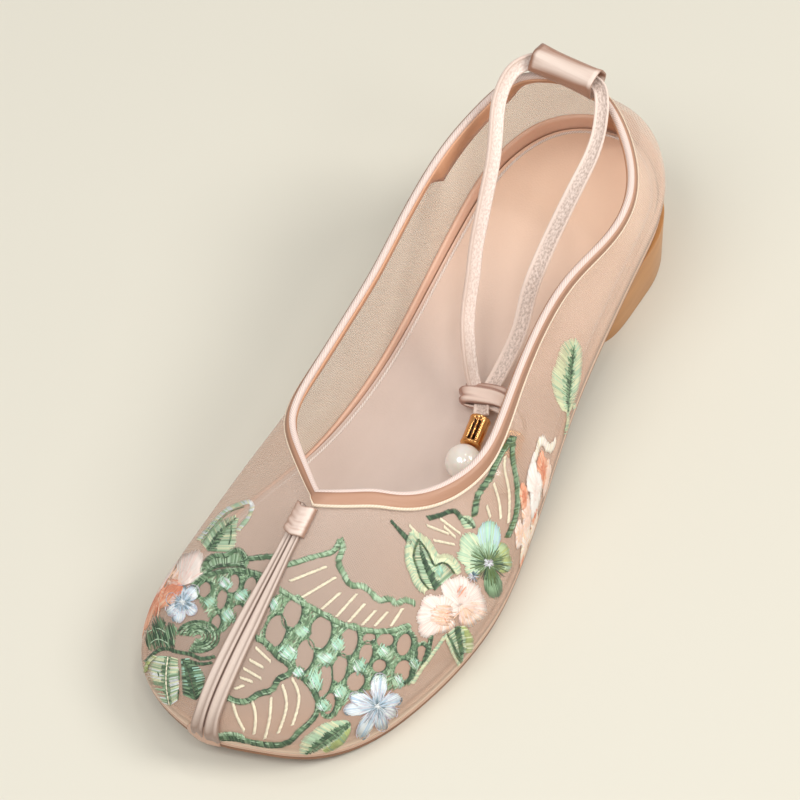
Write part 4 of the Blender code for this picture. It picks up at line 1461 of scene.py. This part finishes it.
# Head: nested arcs, the mouth's dark stitching and the jaw
HEAD = (291, 685)
HEAD_ARCS = (
    (3.0, LIGHT_ROPE), (5.2, LIGHT_ROPE), (7.2, ROPE), (9.2, LIGHT_ROPE), (11.4, LIGHT_ROPE), (13.6, ROPE),
)
HEAD_TURNS = np.linspace(-3.0, 2.0, 14)
JAW = ((252.6, 703.5), (259, 697), (266.5, 694), (276, 696.5), (286, 698.4), (293, 701.5), (303, 700))
JAW_LOW = ((286, 703.5), (293, 705.5), (301, 704.5))
MOUTH = (
    (257, 686, 5.0, 9.0), (262, 677, 5.0, 7.0), (265, 687, 5.4, 7.4), (271, 681, 4.4, 6.0),
    (270, 690, 4.0, 4.4),
)
for radius, threads in HEAD_ARCS:
    arc = [(HEAD[0] + 1.14 * radius * math.cos(a), HEAD[1] + 0.84 * radius * math.sin(a)) for a in HEAD_TURNS]
    column(threads, arc, 1.9, 1, 0.8)
    strand("forest", [(x + 0.9, y + 0.3) for x, y in arc], 2, 0.3, 0.55)
for x, y, wide, tall in MOUTH:
    patch(("forest", "forest", "green", "leaf"), (x, y), (wide, tall), way=1.2)
for line in (((254, 682), (261, 679), (267, 682)), ((256, 690), (262, 687), (270, 691))):
    strand("mint", line, 3, 0.4, 0.8)
column(DARK_ROPE, JAW, 3.0, 2)
column(DARK_ROPE, JAW_LOW, 2.4, 2)

# Flowers: (centre, petals as (tip, half width, layers))
PINK_PETAL = ((("blush", "blush", "pink"), 0.3, 1.0), (("pink", "blush"), 0.1, 0.55))
PEACH_PETAL = ((("pink", "peach", "blush"), 0.3, 1.0), (("peach", "pink"), 0.05, 0.7))
CORAL_PETAL = ((("coral", "coral", "peach"), 0.3, 1.0), (("red", "coral"), 0.05, 0.6))
BLUE_PETAL = ((("snow", "sky", "snow"), 0.2, 1.0), (("sky", "sky", "slate", "snow", "lilac"), 0.1, 0.6))
MINT_PETAL = ((("mint", "mint", "pale"), 0.3, 1.0), (("leaf", "mint", "green"), 0.15, 0.7))
AQUA_PETAL = ((("mint", "aqua", "sky"), 0.3, 1.0), (("leaf", "mint", "aqua"), 0.15, 0.65))
LIME_PETAL = ((("lime", "lime", "mint"), 0.3, 1.0), (("lime", "olive", "leaf"), 0.1, 0.75))
GREEN_PETAL = ((("leaf", "green", "leaf"), 0.3, 1.0), (("green", "olive"), 0.1, 0.7))
BLUE_RIM = ("lilac", "slate", "lilac")
BLUE_OUTER = (
    (424, 736.8),
    (
        ((426.2, 712.4), 6.6, BLUE_PETAL), ((442, 730), 5.4, BLUE_PETAL), ((438.5, 744), 5.2, BLUE_PETAL),
        ((428, 755.5), 5.2, BLUE_PETAL), ((410, 761.5), 5.6, BLUE_PETAL), ((399, 740.5), 5.6, BLUE_PETAL),
        ((403.4, 729), 5.2, BLUE_PETAL),
    ),
)
BLUE_INNER = (
    (280, 659.5),
    (
        ((291, 648), 5.4, BLUE_PETAL), ((277, 647), 5.4, BLUE_PETAL), ((268, 656), 5.0, BLUE_PETAL),
        ((268, 668), 5.0, BLUE_PETAL), ((275, 675), 5.0, BLUE_PETAL), ((289.5, 668), 5.0, BLUE_PETAL),
    ),
)
PEONY_LEFT = (
    (472.4, 668.5),
    (
        ((452.8, 673), 8.6, PINK_PETAL), ((456, 685), 7.4, PINK_PETAL), ((457.5, 657), 8.6, PINK_PETAL),
        ((473, 653.5), 8.8, PINK_PETAL), ((485.5, 661), 7.0, PINK_PETAL), ((466, 683.5), 7.4, PEACH_PETAL),
        ((478, 682), 7.0, PEACH_PETAL),
    ),
)
PEONY_RIGHT = (
    (487, 661.5),
    (
        ((474.5, 642), 8.0, PINK_PETAL), ((485.6, 638.8), 8.0, PINK_PETAL), ((498, 645.5), 8.8, PINK_PETAL),
        ((505.4, 659), 8.4, PINK_PETAL), ((506, 669), 7.6, PEACH_PETAL), ((495, 678.5), 8.0, PEACH_PETAL),
    ),
)
GREEN_OUTER = (
    (506.4, 630.4),
    (
        ((487, 609), 9.0, MINT_PETAL), ((483, 622), 8.0, MINT_PETAL), ((507.6, 597.6), 9.4, AQUA_PETAL),
        ((521, 616.5), 7.4, LIME_PETAL), ((525, 629.5), 8.4, LIME_PETAL), ((512.8, 657.4), 7.2, GREEN_PETAL),
        ((489, 636), 6.6, MINT_PETAL),
    ),
)
PEONY_INNER = (
    (279, 646),
    (
        ((292.5, 620), 7.0, PINK_PETAL), ((284, 622), 7.0, PINK_PETAL), ((296, 632), 6.0, PINK_PETAL),
        ((270, 636), 8.0, PEACH_PETAL), ((261, 648), 8.0, CORAL_PETAL), ((256, 662), 8.0, CORAL_PETAL),
        ((266, 664), 7.0, CORAL_PETAL),
    ),
)
for centre, petals in (BLUE_OUTER, PEONY_INNER, BLUE_INNER, PEONY_RIGHT, GREEN_OUTER, PEONY_LEFT):
    for tip, half_wide, layers in petals:
        petal(centre, tip, half_wide, layers, BLUE_RIM if layers is BLUE_PETAL else None)
# The inner flower's petals that turn down to the sole
PEONY_SIDE = (
    (3.5, 42),
    (
        ((-17, 47), 9.0, PINK_PETAL), ((-18, 33), 9.0, PEACH_PETAL), ((18, 48), 8.0, CORAL_PETAL),
        ((-14, 17), 9.0, CORAL_PETAL), ((1, 9), 9.0, CORAL_PETAL), ((15, 15), 8.0, CORAL_PETAL),
        ((21, 29), 8.0, CORAL_PETAL),
    ),
)
for tip, half_wide, layers in PEONY_SIDE[1]:
    petal(PEONY_SIDE[0], tip, half_wide, layers, drawing="inner")
for centre, petals in (BLUE_OUTER, BLUE_INNER):
    burst(("slate", "slate", "sky"), centre, 1.5, 8.0, 34)
    burst("lilac", centre, 7.0, 17.0 if centre is BLUE_OUTER[0] else 10.0, 26)
    burst("snow", centre, 0.0, 3.0, 9, 5, 0.42)
for centre, half_sizes, threads in (
    ((266, 650), (7.0, 9.0), ("coral", "coral", "red")), ((259, 661), (4.4, 9.0), ("coral", "peach", "red")),
    ((272, 637), (6.0, 6.0), ("peach", "pink", "coral")),
):
    patch(threads, centre, half_sizes, 2.1, 2)
burst(("olive", "forest", "olive"), GREEN_OUTER[0], 3.0, 16.0, 54, 4)
burst(("slate", "lilac", "snow"), (495, 640), 0.5, 6.0, 16, 4)
burst(("snow", "lilac"), GREEN_OUTER[0], 0.5, 4.6, 16, 5, 0.4)
patch(("peach", "peach", "pink"), (472.4, 669), (8.6, 7.4), way=0.2, layer=4)
patch(("pink", "coral", "pink"), (486.5, 652), (3.4, 5.4), way=2.2, layer=4)
burst(("coral", "peach"), (472.4, 669), 1.0, 8.0, 12, 5, 0.3)
strand("peach", ((480, 672), (486, 666), (490, 664), (495, 668)), 5, 0.4)

# Leaves: (rib, left edge, right edge), from base to tip
LEAF_MIDDLE = (
    ((468, 649), (461, 634), (454.8, 612.8)),
    ((462, 649.5), (456.3, 642), (453.4, 633.4), (451, 624.5), (454.8, 612.8)),
    ((481.2, 637.7), (476.8, 632), (471, 630.4), (466.5, 632), (462, 623), (454.8, 612.8)),
)
MIDDLE_LEFT = ((459.2, 651.7), (453.4, 646.5), (449, 636.3), (446.4, 627.5), (447, 617), (450, 607.4))
MIDDLE_RIGHT = ((484.6, 638), (482.5, 630.4), (475.4, 625), (468.4, 625), (462.1, 614.8), (450, 607.4))
LEAF_UNDER = (
    ((483, 678), (485.6, 692), (487.5, 706)),
    ((476, 683.5), (479, 691), (482, 699), (487.5, 706)),
    ((490, 677.5), (495.5, 686), (495, 696), (487.5, 706)),
)
UNDER_LEFT = ((474.4, 684.4), (477.6, 691), (480.4, 698), (485.6, 708))
LEAF_QUARTER = (
    ((565.6, 518), (566.8, 497), (570, 469)),
    ((561, 516.5), (555.6, 506.3), (553, 494.8), (554, 485.9), (557.4, 478), (560.8, 467.5), (569, 462.5)),
    ((567, 518), (571.4, 510), (575, 496), (576, 489), (576.6, 480), (576, 470), (571, 462.5)),
)
QUARTER_SIDE = ((570, 512), (570.4, 518), (571, 523))
LEAF_SPIKY = (
    ((404, 750), (388, 761), (370, 775)),
    ((400, 747.5), (386, 749), (376, 755), (367, 763.5), (366, 775)),
    ((404, 756), (400, 764), (390, 771), (370, 775)),
)
LEAF_INNER = (
    ((299, 621), (306, 610), (319, 597)),
    ((293.5, 615), (299, 605.5), (306.5, 598.5), (319, 594)),
    ((318, 621.5), (320, 613), (320, 605), (321.5, 597)),
)
LEAF_TOE = (
    ((270, 736), (267.5, 718), (269, 700)),
    ((264, 734), (255, 722), (252.6, 708), (259, 699.5)),
    ((276, 732), (277, 716), (276, 702)),
)
LEAF_TOE_DARK = (
    ((289, 732), (285, 716), (279.5, 702)),
    ((279, 728), (278.5, 716), (278, 702)),
    ((294, 727), (296, 714), (285, 701.5)),
)
SMALL_LEAF = (
    ((496.4, 604), (491, 598.5), (485.6, 595.6)),
    ((488.6, 604.5), (486, 600), (485.6, 595.6)),
    ((497.4, 602), (493.5, 595.4), (485.6, 595.6)),
)
FRESH = ((LEAFY, 0.1, 1.0), (("green", "leaf", "forest"), 0.0, 0.34))
PALE_LEAF = (
    (("pale", "pale", "mint", "pale"), 0.2, 1.0), (("mint", "leaf", "pale"), 0.1, 0.5),
    (("green", "forest", "leaf"), 0.0, 0.3),
)
TOE_LEAF = ((("mint", "pale", "leaf", "snow"), 0.1, 1.0), (("leaf", "green"), 0.0, 0.3))
DARK_LEAF = ((DEEP_LEAF, 0.0, 1.0), (("forest", "green"), 0.0, 0.5))
SPIKES = ((("mint", "mint", "pale"), 0.1, 1.0), (("green", "forest", "leaf"), 0.0, 0.45))
for edges, layers in (
    (LEAF_MIDDLE, FRESH), (LEAF_UNDER, FRESH), (LEAF_QUARTER, PALE_LEAF), (LEAF_SPIKY, SPIKES),
    (LEAF_INNER, FRESH), (LEAF_TOE, TOE_LEAF), (LEAF_TOE_DARK, DARK_LEAF), (SMALL_LEAF, FRESH),
):
    leaf(*edges, layers)
for edge in (MIDDLE_LEFT, MIDDLE_RIGHT):
    column(BORDER, edge, 4.0, 2)
for edge in (*LEAF_MIDDLE[1:], LEAF_UNDER[1]):
    column(("olive", "green", "forest"), edge, 1.5, 3)
between(BORDER, LEAF_MIDDLE[1], MIDDLE_LEFT, layer=1)
between(BORDER, LEAF_MIDDLE[2], MIDDLE_RIGHT, layer=1)
column(("forest", "forest", "green"), ((468, 649), (463, 638), (457, 623)), 5.2, 3, taper=0.5)
patch(("aqua", "mint"), (470, 637), (3.0, 4.6), layer=3)
column(BORDER, UNDER_LEFT, 3.0, 3)
column(("forest", "green", "olive"), ((483.4, 679), (485.4, 689), (487, 698)), 4.8, 3, taper=0.4)
column(("forest", "green"), ((478.6, 687), (482, 695), (486, 702)), 2.2, 3)
between(("lime", "lime", "pale"), LEAF_UNDER[0], LEAF_UNDER[2], (0.55, 1.0), 2)
between(("lime", "lime", "leaf"), LEAF_SPIKY[0], LEAF_SPIKY[2], (0.55, 1.0), 2)
column(("lime", "pale"), LEAF_TOE[1], 3.0, 3)
strand("cream", LEAF_TOE[0], 4, 0.6)
strand(("forest", "green"), LEAF_TOE[2], 3, 0.5, 0.7)
strand(("forest", "green"), ((258, 705), (262, 714), (262, 722)), 3, 0.5, 0.7)
strand(("forest", "green"), LEAF_INNER[1], 3, 0.5, 0.8)
strand(("forest", "green"), ((316, 602), (315.5, 611), (313.5, 619)), 3, 0.6, 0.9)
OUTLINE_INNER = (
    (292, 613), (299, 605), (310, 593), (320, 587.5), (330, 585), (330.8, 592), (326, 600), (321, 606),
)
column(("pale", "snow", "mint"), OUTLINE_INNER, 3.4, 3)
strand(("leaf", "green"), [(x + 1.6, y + 2.2) for x, y in OUTLINE_INNER[:5]], 3, 0.4, 0.8)
column(BORDER, QUARTER_SIDE, 2.4, 2)

# Tail fin, stems, dark tips and the tendril on the outer wall
TAIL_LEFT = ((525.2, 536.3), (514.4, 552.2), (508, 566.3), (501.6, 575.2), (497.8, 584), (496.5, 595))
TAIL_RIGHT = ((525.2, 537), (524.7, 552), (527.8, 570), (528.4, 586.7), (525.9, 599.4), (521, 611))
TAIL_RAYS = (
    ((518.9, 551), (518.9, 562.4), (522, 578), (521.6, 600)), ((510.6, 571.4), (514.4, 584), (515.8, 597)),
    ((505.5, 588), (508, 596)),
)
RAYS = (
    ((471, 597.4), (485.6, 608.4)), ((461.4, 602.5), (476.8, 608.4)), ((466.5, 613.5), (481.2, 616.5)),
    ((448.2, 602.5), (453.4, 608)), ((474, 603.5), (482, 611)),
)
STEM = ((450.4, 719.9), (457, 709.5), (466, 697), (474, 685.5))
STEM_DARK = ((449, 717), (451.5, 704), (452.5, 690))
STEM_SIDE = ((459.5, 702), (462.5, 693), (464, 684.5))
DARK_TIP = ((449, 615), (441, 606.5), (434.3, 598.9))
DARK_BRANCH = ((462, 596.8), (471, 594.6), (478, 591.8), (483, 592.5), (486, 597))
QUARTER_STEM = ((565.4, 518), (565.2, 526.7), (562.6, 537))
TENDRIL = (
    (4.6, 48.4), (11.6, 51), (16.7, 49), (22, 50.2), (28.2, 45.9), (30.1, 37.9), (36.7, 29.1), (42, 28),
)
rope(TAIL_LEFT, 5.0, ("green", "olive", "forest", "leaf", "leaf"))
rope(TAIL_RIGHT, 4.4, ("green", "leaf", "leaf", "olive"))
for ray in (*TAIL_RAYS, *RAYS):
    column("cream", ray, 2.0, 1, 0.9, 0.8)
column(BORDER, STEM, 2.8, 2)
rope(STEM_DARK, 4.4, DARK_ROPE)
rope(STEM_SIDE, 3.6, DARK_ROPE)
column(DARK_ROPE, DARK_TIP, 5.0, 2, taper=0.6)
column(DARK_ROPE, DARK_BRANCH, 3.8, 2)
column(BORDER, QUARTER_STEM, 2.6, 2)
column(("cream", "blush", "white"), TENDRIL, 5.4, 3, 0.3, 0.7, drawing="outer")

# Blossoms on the outer wall: (centre, half size, petal, layer)
WHITE_PETAL = ((("white", "white", "blush"), 0.15, 1.0), (("blush", "white", "pink"), 0.1, 0.5))
PALE_PETAL = ((("blush", "peach", "cream"), 0.3, 1.0), (("peach", "blush"), 0.05, 0.6))
SPRAY = (
    ((23, 20), (7, 12), PEACH_PETAL, 1), ((-3, 15), (7, 11), PALE_PETAL, 1),
    ((-19, 20), (8.5, 13), PALE_PETAL, 1), ((-12, 34), (8.5, 13), PEACH_PETAL, 1),
    ((-27, 36), (6, 9), PEACH_PETAL, 1), ((-11, 48), (6, 8), CORAL_PETAL, 2),
    ((-1, 24), (5.5, 8), CORAL_PETAL, 2), ((18, 33), (7, 13), CORAL_PETAL, 2),
    ((-24, 12), (3.5, 4.5), CORAL_PETAL, 2), ((3.5, 36), (8.5, 18), WHITE_PETAL, 4),
)
for centre, half_sizes, layers, layer in SPRAY:
    blossom(centre, half_sizes, layers, "outer", layer)


# The stitches, laid on the upper's face and joined by colour: the photographed view and the face it meets
VIEW = np.array(Euler(TURN).to_matrix())
SIGHT = np.array(EYE) / MM + MIDDLE
FRAME_PIXELS = 800
FACE_STEPS = 81
face_u, face_t = np.meshgrid(fine_around, np.linspace(0.0, 1.0, FACE_STEPS), indexing="ij")
face_points = wall(face_u, face_t)
quads = []
for i in range(len(fine_around)):
    for j in range(FACE_STEPS - 1):
        a, b = i * FACE_STEPS + j, (i + 1) % len(fine_around) * FACE_STEPS + j
        quads.append((a, b, b + 1, a + 1))
FACE = BVHTree.FromPolygons(face_points.reshape(-1, 3).tolist(), quads)


def lay(pixels):
    """Where sight lines through pixels meet the upper's outer face, the way out there, and which ones do."""
    points, normals, seen = [], [], []
    half = SENSOR / 2 / LENS
    for x, y in pixels:
        way = VIEW @ ((2 * x / FRAME_PIXELS - 1) * half, (1 - 2 * y / FRAME_PIXELS) * half, -1.0)
        at, normal, _, _ = FACE.ray_cast(Vector(SIGHT), Vector(way))
        seen.append(at is not None and np.dot(normal, way) < 0)
        points.append(at if seen[-1] else (0, 0, 0))
        normals.append(normal if seen[-1] else (0, 0, 1))
    return np.array(points, float), np.array(normals, float), np.array(seen)


def wall_drawing(row, step, rise):
    """A way to lay a drawing on the wall, from a row on. step, rise: a unit in rows and height shares."""

    def lay_there(places):
        u, t = row + step * places[:, 0], rise * places[:, 1]
        return wall(u, t), facing(u, t), np.ones(len(places), bool)

    return lay_there


ONTO = {
    "seen": lay,
    "inner": wall_drawing(row=11.9, step=1 / 35, rise=1 / 140),
    "outer": wall_drawing(row=22.5, step=1 / 41, rise=1 / 90),
}


def sew(colour, drawings, mat):
    """One mesh of all the stitches of a colour: each a thin thread with a rounded top and drawn-in ends."""
    laid = []
    for drawing, stitches in drawings.items():
        if stitches:
            laid.append(ONTO[drawing](np.array([line for line, _, _, _ in stitches]).reshape(-1, 2)))
    points, normals, seen = (np.concatenate(part) for part in zip(*laid))
    stitches = [one for drawing in drawings.values() for one in drawing]
    keep = seen.reshape(-1, 4).all(1)
    points, normals = points.reshape(-1, 4, 3)[keep], normals.reshape(-1, 4, 3)[keep]
    lift, wide, shade = (np.array(values)[keep] for values in list(zip(*stitches))[1:])
    ahead = np.gradient(points, axis=1)
    ahead /= np.linalg.norm(ahead, axis=2, keepdims=True) + 1e-9
    side = np.cross(ahead, normals) * wide[:, None, None] / 2 * THREAD_WIDTHS
    base = points + normals * (lift[:, None, None] - THREAD_SINK)
    top = points + normals * (lift[:, None, None] + THREAD_THICK * THREAD_CRESTS)
    verts = np.stack([base - side, top, base + side], 2).reshape(-1, 3)
    # Each stitch is four rings of three points, joined, with a face at both ends
    faces = []
    for s in range(len(points)):
        o = s * 12
        for i in range(3):
            for j in range(3):
                a, b = o + 3 * i, o + 3 * i + 3
                faces.append((a + j, a + (j + 1) % 3, b + (j + 1) % 3, b + j))
        faces.append((o + 2, o + 1, o))
        faces.append((o + 9, o + 10, o + 11))
    made = piece("thread_" + colour, verts, faces, mat, closed=False)
    dye = made.data.attributes.new("shade", "FLOAT", "POINT")
    dye.data.foreach_set("value", np.repeat(shade, 12).astype(np.float32))


# Dye: the share of a thread's colour in its darkest stitches, more of it in pale threads, up to which tone,
# and in its brightest
DYE_DARK = (0.66, 0.22)
DYE_PALE = 0.6
DYE_BRIGHT = 1.12


def thread(name, colour):
    """Embroidery thread: a soft gloss, dye that differs from stitch to stitch, and fine fibres."""
    mat, tree, bsdf = shader(name, colour, 0.5, {"Sheen Weight": 0.15, "Sheen Roughness": 0.4})
    dye = add(tree, "Attribute", attribute_name="shade").outputs["Fac"]
    deep = tuple((DYE_DARK[0] + DYE_DARK[1] * min(1.0, colour[1] / DYE_PALE)) * c for c in colour)
    bright = tuple(min(1.0, DYE_BRIGHT * c) for c in colour)
    paint(tree, bsdf, ramp(tree, dye, ((0.0, deep), (0.55, colour), (1.0, bright))))
    fibres = noise(tree, place(tree, "Object"), scale=5200.0, detail=1.0)
    bump(tree, bsdf, fibres, strength=0.3, distance=0.0001)
    return mat


for colour, dye in THREADS.items():
    drawings = {drawing: STITCHES[drawing][colour] for drawing in STITCHES}
    if any(drawings.values()):
        sew(colour, drawings, thread("thread_" + colour, dye))


# Floor, light and camera

floor_mat, floor_tree, floor_bsdf = shader("cream_floor", (0.67, 0.65, 0.57), 0.85)
cloud = noise(floor_tree, place(floor_tree, "Object"), scale=1.5, detail=3.0)
paint(floor_tree, floor_bsdf, ramp(floor_tree, cloud, ((0.3, (0.66, 0.64, 0.56)), (0.7, (0.68, 0.66, 0.58)))))
bpy.ops.mesh.primitive_plane_add(size=6.0, location=(0, 0, 0))
floor = bpy.context.object
floor.name = "floor"
floor.data.materials.append(floor_mat)

# Name, place, size, power and colour
LIGHTS = (
    ("key", (1.25, 0.6, 1.4), 0.8, 18.5, (1.0, 0.96, 0.91)),
    ("fill", (-0.35, -0.9, 1.6), 1.0, 11.0, (1.0, 0.98, 0.95)),
    ("window", (0.5, -0.35, 1.2), 0.3, 1.5, (1.0, 0.99, 0.97)),
    ("lamp", (0.95, -0.2, 0.95), 0.3, 1.3, (1.0, 0.98, 0.95)),
    ("side", (0.15, -0.75, 1.1), 0.26, 1.1, (1.0, 0.99, 0.97)),
    ("back", (0.1, 0.45, 1.3), 0.1, 1.0, (1.0, 0.98, 0.96)),
)


def light(name, place_at, size, power, colour):
    """A round area light that looks at the middle of the floor."""
    lamp = bpy.data.lights.new(name, "AREA")
    lamp.shape = "DISK"
    lamp.size = size
    lamp.energy = power
    lamp.color = colour
    ob = bpy.data.objects.new(name, lamp)
    ob.location = place_at
    ob.rotation_euler = (-Vector(place_at)).to_track_quat("-Z", "Y").to_euler()
    bpy.context.scene.collection.objects.link(ob)


for values in LIGHTS:
    light(*values)
world = bpy.data.worlds.new("studio")
world.use_nodes = True
world.node_tree.nodes["Background"].inputs["Color"].default_value = (1.0, 0.985, 0.96, 1.0)
world.node_tree.nodes["Background"].inputs["Strength"].default_value = 0.47
bpy.context.scene.world = world
bpy.context.scene.view_settings.view_transform = "Standard"

camera = bpy.data.objects.new("camera", bpy.data.cameras.new("camera"))
camera.data.lens = SHOT_LENS
camera.data.sensor_width = SENSOR
camera.location = EYE
camera.rotation_euler = SHOT_TURN
bpy.context.scene.collection.objects.link(camera)
bpy.context.scene.camera = camera
